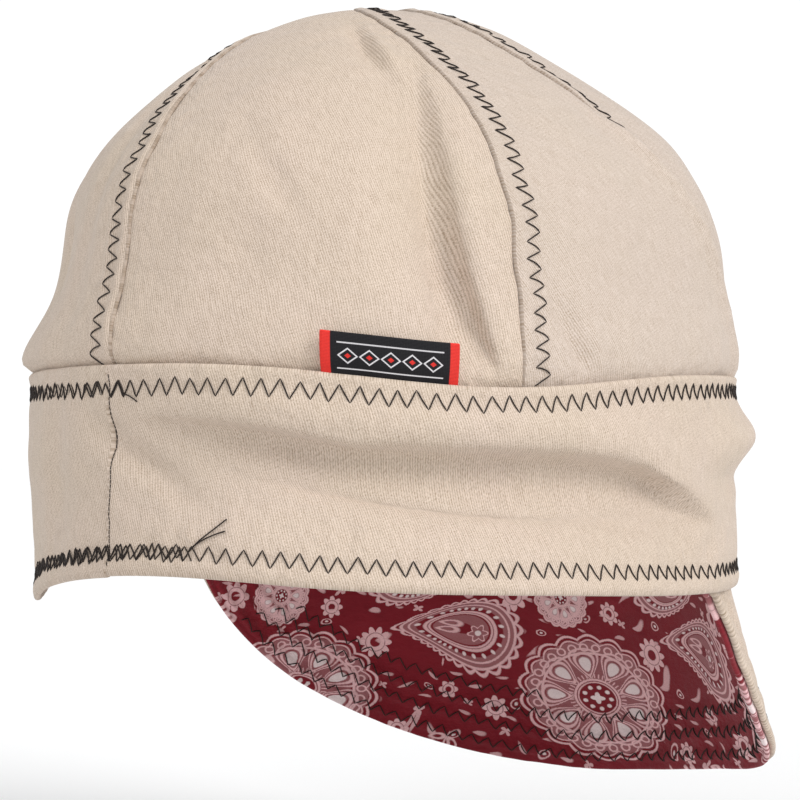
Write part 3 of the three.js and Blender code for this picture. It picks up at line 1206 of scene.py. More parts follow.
@dataclass
class ClothWall:
    """A sewn wall of cloth: an outside, an inside and rounded edges all round."""

    base: Surface
    relief: Surface
    flat: Surface
    wall: float
    us: Array
    vs: Array
    # Where shade is painted into the cloth's colour, kept as the mesh's crease attribute.
    crease: Surface = nowhere
    pucker: Surface = nowhere
    hem_steps: int = 5
    end_steps: int = 4
    fullness: float = 1.0
    paleness: float = 0.0

    def point(self, u: Array, v: Array, depth: Array | float = 0.0) -> Array:
        """A point of the dressed wall, a depth below its outside."""
        lift = self.relief(u, v) - depth
        return self.base(u, v) + normals(self.base, u, v) * lift[..., None]

    def section(self) -> tuple[Array, Array, Array]:
        """The loop round the wall's edge-to-edge section: v, depth share and reach past the edge."""
        bend = np.linspace(0, math.pi, self.hem_steps + 2)[1:-1]
        flat = np.zeros_like(self.vs)
        low, high = np.full(len(bend), self.vs[0]), np.full(len(bend), self.vs[-1])
        v = np.concatenate([self.vs, high, self.vs[::-1], low])
        depth = np.concatenate([flat, (1 - np.cos(bend)) / 2, flat + 1, (1 + np.cos(bend)) / 2])
        past = np.concatenate([flat, np.sin(bend) / 2, flat, -np.sin(bend) / 2])
        return v, depth, past

    def build(self, parts: MeshParts) -> None:
        """Adds the wall to a mesh."""
        v, depth, past = self.section()
        bend = np.linspace(0, math.pi / 2 * 0.96, self.end_steps + 1)[1:]
        start, end = np.full(len(bend), self.us[0]), np.full(len(bend), self.us[-1])
        u = np.concatenate([start, self.us, end])
        squeeze = np.concatenate([np.cos(bend)[::-1], np.ones(len(self.us)), np.cos(bend)])
        beyond = np.concatenate([-np.sin(bend)[::-1] / 2, np.zeros(len(self.us)), np.sin(bend) / 2])
        uu, vv = np.meshgrid(u, v, indexing="ij")
        share = 0.5 + (depth[None, :] - 0.5) * squeeze[:, None]
        normal = normals(self.base, uu, vv)
        step = 1e-3
        along = unit(self.base(uu + step, vv) - self.base(uu - step, vv))
        up = unit(np.cross(normal, along))
        lift = self.relief(uu, vv) - share * self.wall
        points = self.base(uu, vv) + normal * lift[..., None]
        points += along * (beyond[:, None] * self.wall)[..., None]
        points += up * (past[None, :] * squeeze[:, None] * self.wall * self.fullness)[..., None]
        rows = len(v)
        size = len(u) * rows
        i, j = np.meshgrid(np.arange(len(u) - 1), np.arange(rows), indexing="ij")
        here, over = i * rows + j, i * rows + (j + 1) % rows
        faces = np.stack([here, here + rows, over + rows, over], axis=-1).reshape(-1, 4)
        flat = self.flat(uu, vv).reshape(-1, 2)
        caps = []
        half = rows // 2
        for first in (0, size - rows):
            ring = first + np.arange(rows)
            pairs = [[ring[k], ring[k + 1], ring[-k - 2], ring[-k - 1]] for k in range(half - 1)]
            caps.append(np.array(pairs if first == 0 else [p[::-1] for p in pairs]))
        parts.add(
            points.reshape(-1, 3),
            np.concatenate([faces, *caps]),
            flat,
            crease=np.broadcast_to(self.crease(uu, vv), uu.shape).reshape(-1),
            pucker=np.broadcast_to(self.pucker(uu, vv), uu.shape).reshape(-1),
            paleness=np.full(uu.size, self.paleness),
        )

    def dress(self, name: str, node: str, finish: Cloth, slot: str) -> None:
        """Builds the wall as a piece that takes a solid's place.

        Args:
            name: The piece's name.
            node: The solid that it replaces.
            finish: The finish it takes.
            slot: Not used.
        """
        parts = MeshParts()
        self.build(parts)
        cloth = parts.build(name, finish)
        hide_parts(node)


@dataclass(frozen=True)
class Zigzag:
    """A zigzag stitch: its pitch, width and thread, and how evenly it was sewn."""

    pitch: float = 3.8
    width: float = 3.8
    thread: float = 0.165
    lead: float = 0.5
    first_lead: float = 0.0
    bow: float = 0.0
    unevenness: float = 0.18
    lift: float = 0.22
    dive: float = 0.12
    leg_points: int = 6
    sides: int = 6

    def holes(self, start: float, end: float, seed: float) -> tuple[Array, Array]:
        """Where the needle goes in: distances along the row and sideways places."""
        count = max(2, int(round((end - start) / self.pitch)))
        index = np.arange(2 * count + 1)
        pitch = (end - start) / count
        lead = np.interp(index / (2 * count), [0, 0.5], [self.first_lead or self.lead, self.lead])
        along = start + pitch * (index // 2 + np.where(index % 2, lead, 0.0))
        jitter = soft_noise(index * 0.83, np.zeros(len(index)), seed) * self.unevenness
        sway = soft_noise(index * 0.91, np.zeros(len(index)), seed + 5) * self.unevenness
        side = np.where(index % 2, 0.5, -0.5) * self.width + sway * 1.4
        return along + jitter * 1.6, side

    def sew(self, parts: MeshParts, lay: Callable, start: float, end: float, seed: float) -> None:
        """Adds a row of stitches to a mesh.

        Args:
            parts: The mesh.
            lay: Gives points and outward directions for distances along and across the row.
            start: Where the row starts.
            end: Where it ends.
            seed: Which of many uneven rows.
        """
        along, side = self.holes(start, end, seed)
        q = np.linspace(0, 1, self.leg_points + 1)[:-1]
        s = (along[:-1, None] * (1 - q) + along[1:, None] * q).ravel()
        t = (side[:-1, None] * (1 - q) + side[1:, None] * q).ravel()
        arch = np.tile(np.sin(math.pi * q), len(along) - 1)
        odd = np.repeat(np.arange(len(along) - 1) % 2, self.leg_points)
        s = s + odd * self.bow * arch * 0.8
        t = t + odd * self.bow * arch * 0.6
        over = np.tile(1 - np.abs(2 * q - 1) ** 5, len(along) - 1)
        height = -self.dive + (self.lift + self.dive) * over
        points, out = lay(s, t)
        self.tube(parts, points + out * height[:, None], out)

    def tube(self, parts: MeshParts, line: Array, out: Array) -> None:
        """Adds a thread along a line of points to a mesh."""
        way = unit(np.gradient(line, axis=0))
        side = unit(np.cross(way, out))
        top = np.cross(side, way)
        turn = np.linspace(0, 2 * math.pi, self.sides, endpoint=False)
        ring = (
            side[:, None] * np.cos(turn)[None, :, None] + top[:, None] * np.sin(turn)[None, :, None]
        )
        points = line[:, None] + ring * self.thread
        place = np.stack(
            np.broadcast_arrays(lengths(line)[:, None], (turn / (2 * math.pi))[None, :]), axis=-1
        )
        i, j = np.meshgrid(np.arange(len(line) - 1), np.arange(self.sides), indexing="ij")
        here, over = i * self.sides + j, i * self.sides + (j + 1) % self.sides
        faces = np.stack([here, over, over + self.sides, here + self.sides], axis=-1)
        parts.add(points.reshape(-1, 3), faces.reshape(-1, 4), place.reshape(-1, 2))


# The cap's sub-assemblies


@dataclass
class Band:
    """The wide band: one folded strip, sewn to the crown along its top and hemmed at its foot."""

    form: CapForm
    columns: int = 620
    rows: int = 52
    mean_radius: float = 95.8
    top_row: float = 3.1
    bottom_row: float = 4.5
    row_channel: float = 0.42
    row_drift: float = 1.7
    drift_angle: float = -12.0
    drift_width: float = 34.0
    join_inset: float = 0.75
    top_channel_width: float = 1.9
    foot_channel_width: float = 2.0
    hem_roll: Ridge = Ridge(0.45, 1.8, 1.6)
    top_roll: Ridge = Ridge(0.25, 0.2, 0.9)
    top_gather: Ripple = Ripple(0.2, 2.9, 13, 1)
    foot_gather: Ripple = Ripple(0.24, 3.3, 12, 2)
    broad_ripple: Ripple = Ripple(0.55, 31, 17, 3)
    small_ripple: Ripple = Ripple(0.2, 12, 8, 4)
    drag_ripple: Ripple = Ripple(0.3, 26, 4.6, 5)
    drag_slope: float = 24.0
    fold_middle: float = 40.0
    join_shade: Ridge = Ridge(0.2, 0.0, 0.3)
    foot_shade: Ridge = Ridge(0.1, 0.0, 0.7)

    def heights(self, angle: Array, share: Array) -> tuple[Array, Array, Array]:
        """The distance along the rim, above the bottom edge and below the top edge."""
        tall = self.form.band_tall(angle)
        return angle * DEGREE * self.mean_radius, share * tall, (1 - share) * tall

    def drift(self, angle: Array) -> Array:
        """How much further down the top row of stitches runs at an angle."""
        return self.row_drift * hump(turn_from(self.drift_angle, angle), self.drift_width)

    def relief(self, angle: Array, share: Array) -> Array:
        """The stitch channels, puckers, hem rolls and creases that stand on the bare band."""
        s, up, down = self.heights(angle, share)
        top = down - self.top_row - self.drift(angle)
        foot = up - self.bottom_row
        rise = self.long_fold(angle, up) - self.form.band_offset(BAND_FOLDS[:3], angle, share)
        rise += self.form.band_offset(BAND_DENTS, angle, share)
        channels = hump(top, self.top_channel_width) + hump(foot, self.foot_channel_width)
        rise -= self.row_channel * channels
        rise += self.hem_roll.at(up) + self.top_roll.at(down)
        rise += self.top_gather.at(s, down) * hump(down - 5.0, 6.0)
        rise += self.foot_gather.at(s, up) * hump(up - 7.0, 6.5)
        rise += self.broad_ripple.at(s, up) * ramp(up, 4, 16) * ramp(down, 4, 14)
        rise += self.small_ripple.at(s, up)
        run, across = turned(s, up, -self.drag_slope)
        rise += self.drag_ripple.at(run, across) * ramp(down, 6, 18) * ramp(up, 8, 16)
        return rise

    def long_fold(self, angle: Array, up: Array) -> Array:
        """The long fold: the cloth rolls out above its line, tucks in at it and comes back slowly.

        Args:
            angle: The angles round the band.
            up: The heights above the band's bottom edge.

        Returns:
            How far the fold pushes the cloth out.
        """
        along = turn_from(self.fold_middle, angle) + self.fold_middle
        share, depth, width = crease_line(LONG_FOLD, along)
        return LONG_TUCK.push(up - share * self.form.band_tall(angle), depth, width)

    def crease(self, angle: Array, share: Array) -> Array:
        """Painted shade: where the cloth is darkened along the join and in the fold at the foot."""
        _s, up, _down = self.heights(angle, share)
        gap = turn_from(self.form.band_join_angle, angle) * DEGREE * self.mean_radius
        return self.join_shade.at(gap) + self.foot_shade.at(up)

    def pucker(self, angle: Array, share: Array) -> Array:
        """Where the stitches draw the cloth up."""
        _s, up, down = self.heights(angle, share)
        return np.clip(hump(down - 3.5, 6) + hump(up - 6, 6), 0, 1)

    def flat(self, angle: Array, share: Array) -> Array:
        """The place on the flat strip."""
        s, up, _down = self.heights(angle, share)
        return np.stack([s, up], axis=-1)

    def wall(self) -> ClothWall:
        """The band's one strip, from its join round to its join."""
        half = self.form.piece_gap / self.form.rim_half_length / DEGREE
        start = self.form.band_join_angle + half
        us = start + np.linspace(0, 1, self.columns + 1) * (360 - 2 * half)
        return ClothWall(
            self.form.band_point,
            self.relief,
            self.flat,
            self.form.band_wall,
            us,
            np.linspace(0, 1, self.rows + 1),
            self.crease,
            self.pucker,
        )

    def lay(self, wall: ClothWall, from_top: bool, middle: float) -> Callable:
        """A way to lay stitches along the band, a distance from one of its edges."""

        def place(s: Array, t: Array) -> tuple[Array, Array]:
            """The points and outward directions along and across the row."""
            angle = s / self.mean_radius / DEGREE
            tall = self.form.band_tall(angle)
            share = (middle + t) / tall
            if from_top:
                share = 1 - (middle + self.drift(angle) - t) / tall
            return wall.point(angle, share), normals(wall.base, angle, share)

        return place

    def dress(self) -> None:
        """Builds the band and its rows of stitches."""
        wall = self.wall()
        wall.dress("band_cloth", "band", Cloth.TWILL, "twill")
        self.sew(wall)

    def sew(self, wall: ClothWall) -> None:
        """Sews the band's two rows, the doubled stitches at the join and the loose ends."""
        zigzag = Zigzag(pitch=4.15, width=4.1)
        low = Zigzag(pitch=4.1, width=3.6)
        loose = Zigzag(pitch=3.6, width=3.5, unevenness=0.42)
        join = self.form.band_join_angle * DEGREE * self.mean_radius
        round_rim = 2 * math.pi * self.mean_radius
        top = self.lay(wall, True, self.top_row)
        foot = self.lay(wall, False, self.bottom_row)
        parts = MeshParts()
        zigzag.sew(parts, top, join + 1, join + round_rim - 1, 11)
        loose.sew(parts, top, join - 82, join + 5, 12)
        line = np.linspace(0, 1, 12)
        points, out = top(join + 5 + 4.5 * line, -1.5 - 1.6 * line**2)
        zigzag.tube(parts, points + out * (0.2 + 0.8 * line * (1 - line))[:, None], out)
        parts.build("band_top_stitches", Cloth.THREAD)
        parts = MeshParts()
        low.sew(parts, foot, join + 1, join + round_rim - 1, 13)
        loose.sew(parts, foot, join - 60, join + 24, 14)
        loose.sew(parts, foot, join - 34, join + 22, 15)
        for bend, reach in ((0.0, 1.0), (1.3, 0.86)):
            points, out = foot(
                join + 23 + (8.5 * line + bend * line * line) * reach,
                0.6 + (7.4 * line - bend * 1.4 * line * line) * reach,
            )
            zigzag.tube(parts, points + out * (0.1 + 1.3 * line * (1.2 - line))[:, None], out)
        parts.build("band_foot_stitches", Cloth.THREAD)
        self.sew_join(wall)

    def sew_join(self, wall: ClothWall) -> None:
        """Sews the straight row of small stitches down the band's join."""
        straight = Zigzag(pitch=2.3, width=0.0, thread=0.11, lift=0.1, dive=0.2, unevenness=0.1)

        def down(s: Array, t: Array) -> tuple[Array, Array]:
            """The points and outward directions along and across the row."""
            angle = self.form.band_join_angle + (self.join_inset + t) / self.mean_radius / DEGREE
            share = s / self.form.band_height
            return wall.point(angle, share), normals(wall.base, angle, share)

        parts = MeshParts()
        straight.sew(parts, down, 1.5, self.form.band_height - 1.5, 17)
        parts.build("band_join_stitches", Cloth.THREAD)


@dataclass
class CrownPanel:
    """One panel of the crown, between the seam before it and the seam after it."""

    form: CapForm
    before: Seam
    after: Seam
    number: int
    paleness: float = 0.0
    tip_radius: float = 0.5
    columns: int = 84
    rows: int = 96
    lap_width: float = 7.4
    lap_height: float = 0.45
    lap_slope: float = 1.2
    lap_roll: Ridge = Ridge(0.3, 1.4, 1.1)
    row_place: float = 4.6
    row_channel: Ridge = Ridge(-0.38, 4.6, 1.7)
    row_gather: Ridge = Ridge(0.34, 4.6, 5.5)
    seam_channel: Ridge = Ridge(-0.3, 0.0, 0.7)
    seam_gather: Ridge = Ridge(0.2, 0.0, 5.0)
    seam_shade: Ridge = Ridge(0.38, 0.0, 0.05)
    broad_ripple: Ripple = Ripple(0.75, 27, 34, 30)
    foot_gather: Ripple = Ripple(0.25, 4.5, 20, 50)
    hidden_lip: Ridge = Ridge(1.5, 2.0, 4.0)
    hidden_dip: Ridge = Ridge(-2.1, 5.0, 6.5)
    hidden_climb: tuple[float, float] = (36, 46)
    creased_panel: int = 0
    hidden_seam: int = 2
    arc_radius: float = 97.0

    def climb(self, v: Array) -> Array:
        """The climb at a share of the panel's length."""
        last = math.acos(self.tip_radius / self.form.rim_half_width) / DEGREE
        return np.maximum(0, v) * last

    def between(self, v: Array) -> tuple[Array, Array, Array]:
        """The climb, the start angle and the span at a share of the panel's length."""
        climb = self.climb(v)
        start = self.form.seam_angle(self.before, climb)
        return climb, start, turn_from(start, self.form.seam_angle(self.after, climb))

    def spread(self, v: Array) -> tuple[Array, Array, Array]:
        """The start angle, the span and the width in millimetres at a share of the length."""
        climb, start, span = self.between(v)
        point = self.form.crown_point(start, climb)
        edge = np.hypot(point[..., 0], point[..., 1])
        return start, span, span * DEGREE * edge

    def base(self, u: Array, v: Array) -> Array:
        """The bare panel: v is -1 inside the band, 0 at its top edge and 1 at the tip."""
        u, v = np.broadcast_arrays(np.asarray(u, float), np.asarray(v, float))
        climb, start, span = self.between(v)
        angle = start + u * span
        tucked = self.form.inside_band(
            angle, 1 + np.minimum(0, v) * self.form.crown_tuck / self.form.band_height
        )
        return np.where((v < 0)[..., None], tucked, self.form.crown_point(angle, climb))

    def sides(self, u: Array, v: Array) -> tuple[Array, Array, Array, Array]:
        """The distances from both seams and up from the band, and how full the panel is there."""
        _start, _span, width = self.spread(v)
        up = v * math.pi / 2 * self.arc_radius
        return u * width, (1 - u) * width, up, np.clip(width / 22, 0, 1) * ramp(v, -0.02, 0.05)

    def relief(self, u: Array, v: Array) -> Array:
        """The laps and stitch channels at the seams, the puckers and the soft creases."""
        near, far, up, full = self.sides(u, v)
        rise = np.zeros_like(near)
        for distance, stitched, seed in (
            (near, self.before.side > 0, 1),
            (far, self.after.side < 0, 2),
        ):
            if stitched:
                low, high = self.lap_width - self.lap_slope, self.lap_width + self.lap_slope
                rise += self.lap_height * (1 - ramp(distance, low, high))
                rise += self.lap_roll.at(distance) + self.row_channel.at(distance)
                pull = self.row_gather.at(distance)
            else:
                rise += self.seam_channel.at(distance)
                pull = self.seam_gather.at(distance)
            slant = up / 2.6 + distance / 6
            rise += pull * soft_noise(slant, distance / 7, 20 + seed + self.number)
        rise *= full
        below = 1 - ramp(self.climb(v), *self.hidden_climb)
        if self.number == self.hidden_seam - 1:
            rise += self.hidden_lip.at(far) * below
        if self.number == self.hidden_seam:
            rise += self.hidden_dip.at(near) * below
        rise += self.dents(u, v)
        open_cloth = np.clip(np.minimum(near, far) / 18, 0, 1) * full
        rise += self.broad_ripple.at(near, up, self.number) * open_cloth
        rise += 0.2 * soft_noise(near / 11 + up / 30, up / 15, 40 + self.number) * open_cloth
        gather = hump(up - 3, 7) * ramp(v, -0.02, 0.03)
        rise += self.foot_gather.at(near, up, self.number) * gather
        return rise

    def dents(self, u: Array, v: Array) -> Array:
        """The small dents, and the long crease beside a seam on the panel that has it."""
        climb = self.climb(v)
        start, span, _width = self.spread(v)
        angle = (start + u * span + 180) % 360 - 180
        angle = np.where(angle < -100, angle + 360, angle)
        rise = self.form.fold_offset(
            CROWN_DENTS,
            self.form.crown_fold_depth,
            self.form.crown_rise,
            angle,
            np.sin(climb * DEGREE),
        )
        if self.number == self.creased_panel:
            line, depth, width = crease_line(CROWN_CREASE, climb)
            across = (angle - line) * DEGREE * self.form.rim_half_width * np.cos(climb * DEGREE)
            rise += CROWN_TUCK.push(across, depth, width)
        return rise * ramp(v, 0.0, 0.04)

    def crease(self, u: Array, v: Array) -> Array:
        """Painted shade: where the cloth is darkened down in the seams."""
        near, far, _up, _full = self.sides(u, v)
        return self.seam_shade.at(near) + self.seam_shade.at(far)

    def pucker(self, u: Array, v: Array) -> Array:
        """Where the stitches draw the cloth up."""
        near, far, up, _full = self.sides(u, v)
        return np.clip(hump(near - 4, 6) + hump(far - 4, 6) + hump(up, 5), 0, 1)

    def flat(self, u: Array, v: Array) -> Array:
        """The place on the flat panel, away from the others on the cloth."""
        near, far, up, _full = self.sides(u, v)
        return np.stack([(near - far) / 2 + 130 * self.number, up], axis=-1)

    def wall(self) -> ClothWall:
        """The panel's wall, its columns closer together near the seams."""
        fine = 2 if self.number == self.creased_panel else 1
        middle = np.linspace(0.1, 0.9, fine * (self.columns - 31))
        edge = 0.1 * (np.arange(16) / 16) ** 1.35
        us = np.concatenate([edge, middle, (1 - edge)[::-1]])
        vs = np.concatenate([[-1, -0.5, -0.2], np.linspace(0, 1, fine * self.rows + 1)])
        return ClothWall(
            self.base,
            self.relief,
            self.flat,
            self.form.crown_wall,
            us,
            vs,
            self.crease,
            self.pucker,
            end_steps=3,
            hem_steps=3,
            paleness=self.paleness,
        )

    def lay(self, wall: ClothWall, at_start: bool) -> tuple[Callable, float]:
        """A way to lay stitches beside one of the panel's seams.

        Args:
            wall: The panel's wall.
            at_start: Whether the stitches lie beside the seam before the panel.

        Returns:
            The way to lay them, and the seam's length.
        """
        v = np.linspace(0, 1, 400)
        line = self.base(np.full_like(v, 0.0 if at_start else 1.0), v)
        length = lengths(line)

        def place(s: Array, t: Array) -> tuple[Array, Array]:
            """The points and outward directions along and across the row."""
            share = np.interp(s, length, v)
            _start, _span, width = self.spread(share)
            inset = (self.row_place + t) * np.clip(width / 15, 0, 1) / np.maximum(width, 0.1)
            u = inset if at_start else 1 - inset
            return wall.point(u, share), normals(wall.base, u, share)

        return place, float(length[-1])


@dataclass
class Crown:
    """The crown: six panels and the zigzag rows beside their seams."""

    form: CapForm
    start: float = 1.2
    stop: float = 7.0
    paleness: dict[str, float] = field(
        default_factory=lambda: {"panel_side_right": 0.5, "panel_front_right": 0.6}
    )

    def dress(self) -> None:
        """Builds the panels and sews their seams."""
        zigzag = Zigzag(
            pitch=4.25, width=3.7, lead=0.22, first_lead=0.62, bow=0.5, unevenness=0.24
        )
        thread = MeshParts()
        for i, name in enumerate(PANEL_NAMES):
            paleness = self.paleness.get(name, 0.0)
            panel = CrownPanel(self.form, SEAMS[i], SEAMS[(i + 1) % len(SEAMS)], i, paleness)
            wall = panel.wall()
            wall.dress(name + "_cloth", name, Cloth.TWILL, "twill")
            for at_start in (True, False):
                seam = panel.before if at_start else panel.after
                if (seam.side > 0) == at_start:
                    lay, length = panel.lay(wall, at_start)
                    zigzag.sew(thread, lay, self.start, length - self.stop, 60 + i)
        thread.build("crown_seam_stitches", Cloth.THREAD)


@dataclass
class Bill:
    """The soft bill: khaki outside, printed lining, and rows of zigzag along its free edge."""

    form: CapForm
    columns: int = 330
    rows: int = 62
    mean_radius: float = 97.0
    hem_roll: Ridge = Ridge(0.35, 1.2, 1.4)
    row_channel: float = 0.42
    row_channel_width: float = 1.5
    puff: float = 0.2
    puff_width: float = 1.9
    gather: Ripple = Ripple(0.4, 3.4, 9, 71)
    broad_ripple: Ripple = Ripple(1.0, 24, 32, 73)
    outer_reach: float = -1.9
    lining_reach: float = -0.9

    def edges(self, turn: Array, v: Array) -> tuple[Array, Array]:
        """The distances along the bill and up from its free edge."""
        hang = self.form.bill_hang(turn)
        low = v * hang
        return turn * DEGREE * self.mean_radius, low

    def relief(self, turn: Array, v: Array) -> Array:
        """The quilted channels of the stitch rows, the puckers and the soft waves."""
        s, low = self.edges(turn, v)
        fade = ramp(1 - v, -0.05, 0.12) * np.clip(self.form.bill_hang(turn) / 12, 0, 1)
        rise = self.hem_roll.at(low)
        for row in BILL_ROWS:
            rise -= self.row_channel * hump(low - row.height, self.row_channel_width)
        for place in BILL_PUFFS:
            rise += self.puff * hump(low - place, self.puff_width)
        rise += self.gather.at(s, low) * hump(low - 9, 10)
        rise += 0.3 * soft_noise(s / 8 + low / 14, low / 12, 72)
        rise += self.broad_ripple.at(s, low)
        return rise * fade

    def pucker(self, turn: Array, v: Array) -> Array:
        """Where the stitches draw the cloth up."""
        _s, low = self.edges(turn, v)
        return np.clip(hump(low - 9, 12), 0, 1)

    def flat(self, turn: Array, v: Array) -> Array:
        """The place on the flat bill, from its top edge down."""
        s, low = self.edges(turn, v)
        return np.stack([s, low - self.form.bill_hang(turn)], axis=-1)

    def wall(self, depth: float, thick: float, reach: float) -> ClothWall:
        """One of the bill's two cloths.

        Args:
            depth: How far it lies below the bill's outside.
            thick: Its thickness.
            reach: How far its free edge hangs below the outer cloth's.

        Returns:
            The wall.
        """

        def hanging(turn: Array, v: Array) -> Array:
            """The bill's outside, drawn down by the reach at its free edge."""
            longer = reach / np.maximum(self.form.bill_hang(turn), 8)
            return self.form.bill_point(turn, v - longer * np.clip(1 - v, 0, 1))

        turns = np.linspace(-1, 1, self.columns + 1) * self.form.bill_half_span
        vs = np.concatenate([np.linspace(0, 1, self.rows + 1), [1.35, 1.7, 2.0]])
        return ClothWall(
            sunk(hanging, depth),
            self.relief,
            self.flat,
            thick,
            turns,
            vs,
            pucker=self.pucker,
            fullness=1.2,
        )

    def lay(self, wall: ClothWall, depth: float, middle: float, inward: bool) -> Callable:
        """A way to lay stitches along the bill's free edge on one of its faces."""

        def place(s: Array, t: Array) -> tuple[Array, Array]:
            """The points and outward directions along and across the row."""
            turn = s / self.mean_radius / DEGREE
            v = (middle + t) / np.maximum(self.form.bill_hang(turn), 1)
            v = np.clip(v, 0.02, 0.98)
            out = normals(wall.base, turn, v)
            return wall.point(turn, v, depth), -out if inward else out

        return place

    def sew(self, outer: ClothWall, lining: ClothWall) -> None:
        """Sews the rows, whose thread shows on both faces."""
        zigzag = Zigzag(pitch=4.6, width=3.3, lead=0.34, bow=0.3, unevenness=0.34, thread=0.19)
        parts = MeshParts()
        reach = self.form.bill_half_span * DEGREE * self.mean_radius
        for i, row in enumerate((*BILL_ROWS, BILL_SHORT_ROW)):
            for wall, depth, inward in ((outer, 0.0, False), (lining, lining.wall, True)):
                lay = self.lay(wall, depth, row.height, inward)
                zigzag.sew(parts, lay, row.first * reach, row.last * reach, 80 + i)
        parts.build("bill_stitches", Cloth.THREAD)

    def dress(self) -> None:
        """Builds the bill's two cloths and sews them."""
        outer = self.wall(0.0, self.form.bill_outer_wall, self.outer_reach)
        lining_depth = self.form.bill_outer_wall + self.form.piece_gap * 0.5
        lining = self.wall(lining_depth, self.form.bill_lining_wall, self.lining_reach)
        outer.dress("bill_outer_cloth", "bill_outer", Cloth.TWILL, "twill")
        lining.dress("bill_lining_cloth", "bill_lining", Cloth.PRINT, "printed_cotton")
        self.sew(outer, lining)


@dataclass
class Label:
    """The small woven tab at the band's top edge."""

    form: CapForm
    columns: int = 70
    rows: int = 26

    def base(self, u: Array, v: Array) -> Array:
        """The bare tab: u runs along it from 0 to 1, v up it."""
        u, v = np.broadcast_arrays(np.asarray(u, float), np.asarray(v, float))
        middle = self.form.label_angle
        half = self.form.label_width / 2 / self.form.rim_radius(np.array(float(middle))) / DEGREE
        angle = middle + (2 * u - 1) * half
        rise = self.form.piece_gap + v * self.form.label_height
        tall = self.form.band_height + self.form.crown_rise - self.form.band_top(angle)
        climb = np.arcsin(np.clip(rise / tall, -1, 1)) / DEGREE
        stand = 2 * self.form.piece_gap + self.form.label_wall + self.form.label_lean * v
        return self.form.crown_point(angle, climb) + outward(angle) * stand[..., None]

    def relief(self, u: Array, v: Array) -> Array:
        """The tab's slight curl."""
        return 0.25 * soft_noise(u * 3.3, v * 1.3, 90) + 0.5 * (2 * u - 1) ** 4 * v

    def flat(self, u: Array, v: Array) -> Array:
        """The place on the flat tab."""
        return np.stack(
            [(u - 0.5) * self.form.label_width, v * self.form.label_height], axis=-1
        )

    def dress(self) -> None:
        """Builds the tab."""
        wall = ClothWall(
            self.base,
            self.relief,
            self.flat,
            self.form.label_wall,
            np.linspace(0, 1, self.columns + 1),
            np.linspace(0, 1, self.rows + 1),
        )
        wall.dress("label_tape", "label", Cloth.TAPE, "woven_tape")


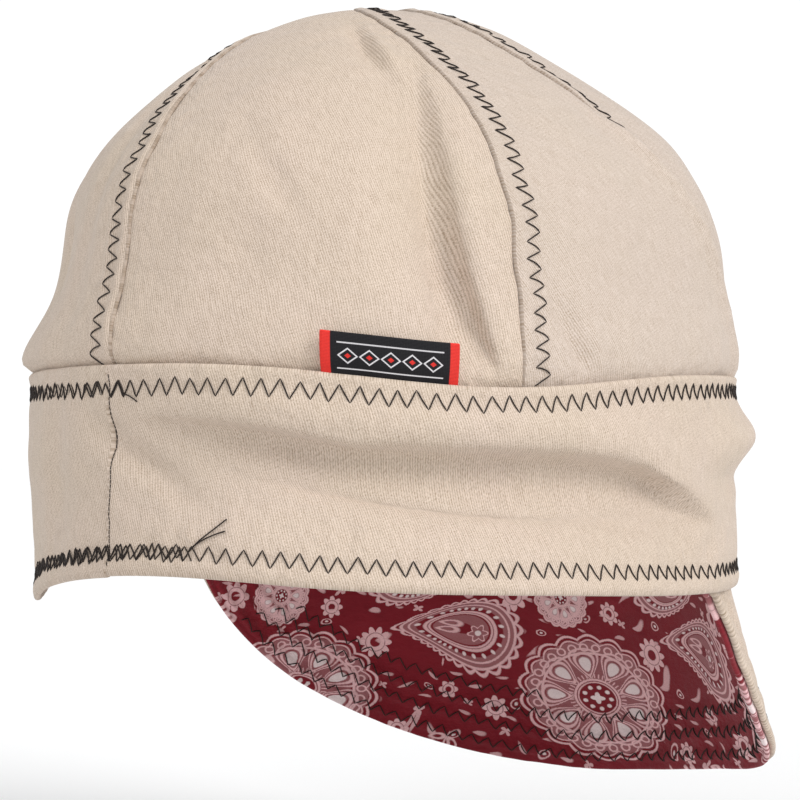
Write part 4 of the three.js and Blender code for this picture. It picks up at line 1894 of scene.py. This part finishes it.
@dataclass
class Studio:
    """The plain white floor, the soft lights and the camera."""

    camera_azimuth: float = 214.5
    camera_distance: float = 475.0
    camera_height: float = 30.0
    focal_pixels: float = 1749.0
    image_pixels: float = 800.0
    axis_column: float = 387.0
    horizon_row: float = 462.0
    floor_height: float = -100.0
    floor_size: float = 60000.0
    sensor_width: float = 36.0
    world_strength: float = 0.53
    seen_strength: float = 1.05
    light_colour: tuple[float, ...] = (0.98, 0.99, 1, 1)

    def floor(self) -> None:
        """Lays the floor."""
        half = self.floor_size / 2
        z = self.floor_height
        corners = np.array([(-half, -half, z), (half, -half, z), (half, half, z), (-half, half, z)])
        mesh = bpy.data.meshes.new("studio_floor")
        mesh.from_pydata((corners * METRES).tolist(), [], [(0, 1, 2, 3)])
        floor = placed("studio_floor", mesh)
        floor.data.materials.append(Cloth.FLOOR.material())
        floor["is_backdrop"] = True

    def ways(self) -> tuple[Vector, Vector]:
        """The level directions from the cap to the camera and to the right of its picture."""
        turn = self.camera_azimuth * DEGREE
        return (
            Vector((math.sin(turn), -math.cos(turn), 0)),
            Vector((math.cos(turn), math.sin(turn), 0)),
        )

    def camera(self) -> None:
        """Sets the camera at the photograph's angle."""
        back, right = self.ways()
        data = bpy.data.cameras.new("camera")
        data.sensor_width = self.sensor_width
        data.lens = self.focal_pixels / self.image_pixels * self.sensor_width
        data.clip_start, data.clip_end = 0.01, 100.0
        camera = placed("camera", data)
        camera.location = back * self.camera_distance * METRES
        camera.location.z = self.camera_height * METRES
        middle = self.image_pixels / 2
        look = (
            -back
            + right * ((middle - self.axis_column) / self.focal_pixels)
            + Vector((0, 0, (self.horizon_row - middle) / self.focal_pixels))
        )
        camera.rotation_mode = "QUATERNION"
        camera.rotation_quaternion = look.to_track_quat("-Z", "Y")
        bpy.context.scene.camera = camera

    def sun(
        self, name: str, side: float, near: float, high: float, angle: float, power: float
    ) -> None:
        """Hangs a far, broad lamp that shines on the cap and the whole floor alike.

        Args:
            name: The lamp's name.
            side: How far it stands to the right of the camera's picture, as a share.
            near: How far it stands towards the camera, as a share.
            high: How high it stands, as a share.
            angle: How broad it looks from the cap, in degrees.
            power: Its strength.
        """
        back, right = self.ways()
        data = bpy.data.lights.new(name, "SUN")
        data.angle = angle * DEGREE
        data.energy = power
        lamp = placed(name, data)
        place = right * side + back * near + Vector((0, 0, high))
        lamp.rotation_mode = "QUATERNION"
        lamp.rotation_quaternion = (-place).to_track_quat("-Z", "Y")

    def world(self) -> None:
        """Makes the white room: pure white to the camera, softer as a light."""
        scene = bpy.context.scene
        world = bpy.data.worlds.new("white_room")
        scene.world = world
        world.use_nodes = True
        tree = world.node_tree
        tree.nodes.clear()
        seen = tree.nodes.new("ShaderNodeBackground")
        seen.inputs[0].default_value = (1, 1, 1, 1)
        seen.inputs[1].default_value = self.seen_strength
        light = tree.nodes.new("ShaderNodeBackground")
        light.inputs[0].default_value = self.light_colour
        light.inputs[1].default_value = self.world_strength
        path = tree.nodes.new("ShaderNodeLightPath")
        mixed = tree.nodes.new("ShaderNodeMixShader")
        output = tree.nodes.new("ShaderNodeOutputWorld")
        tree.links.new(path.outputs["Is Camera Ray"], mixed.inputs[0])
        tree.links.new(light.outputs[0], mixed.inputs[1])
        tree.links.new(seen.outputs[0], mixed.inputs[2])
        tree.links.new(mixed.outputs[0], output.inputs[0])
        scene.view_settings.view_transform = "Standard"

    def dress(self) -> None:
        """Builds the studio."""
        self.floor()
        self.camera()
        self.world()
        self.sun("right_lamp", side=0.86, near=0.7, high=0.64, angle=28, power=1.87)
        self.sun("left_lamp", side=-0.35, near=0.85, high=1.0, angle=60, power=1.05)


def main() -> None:
    """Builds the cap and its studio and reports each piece."""
    logging.basicConfig(level=logging.INFO, format="%(message)s")
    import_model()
    form = CapForm()
    for assembly in (Studio(), Band(form), Crown(form), Bill(form), Label(form)):
        assembly.dress()
        log.info("built %s", type(assembly).__name__)
    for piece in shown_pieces():
        log.info("%s: %d faces", piece.name, len(piece.data.polygons))


if __name__ == "__main__":
    main()
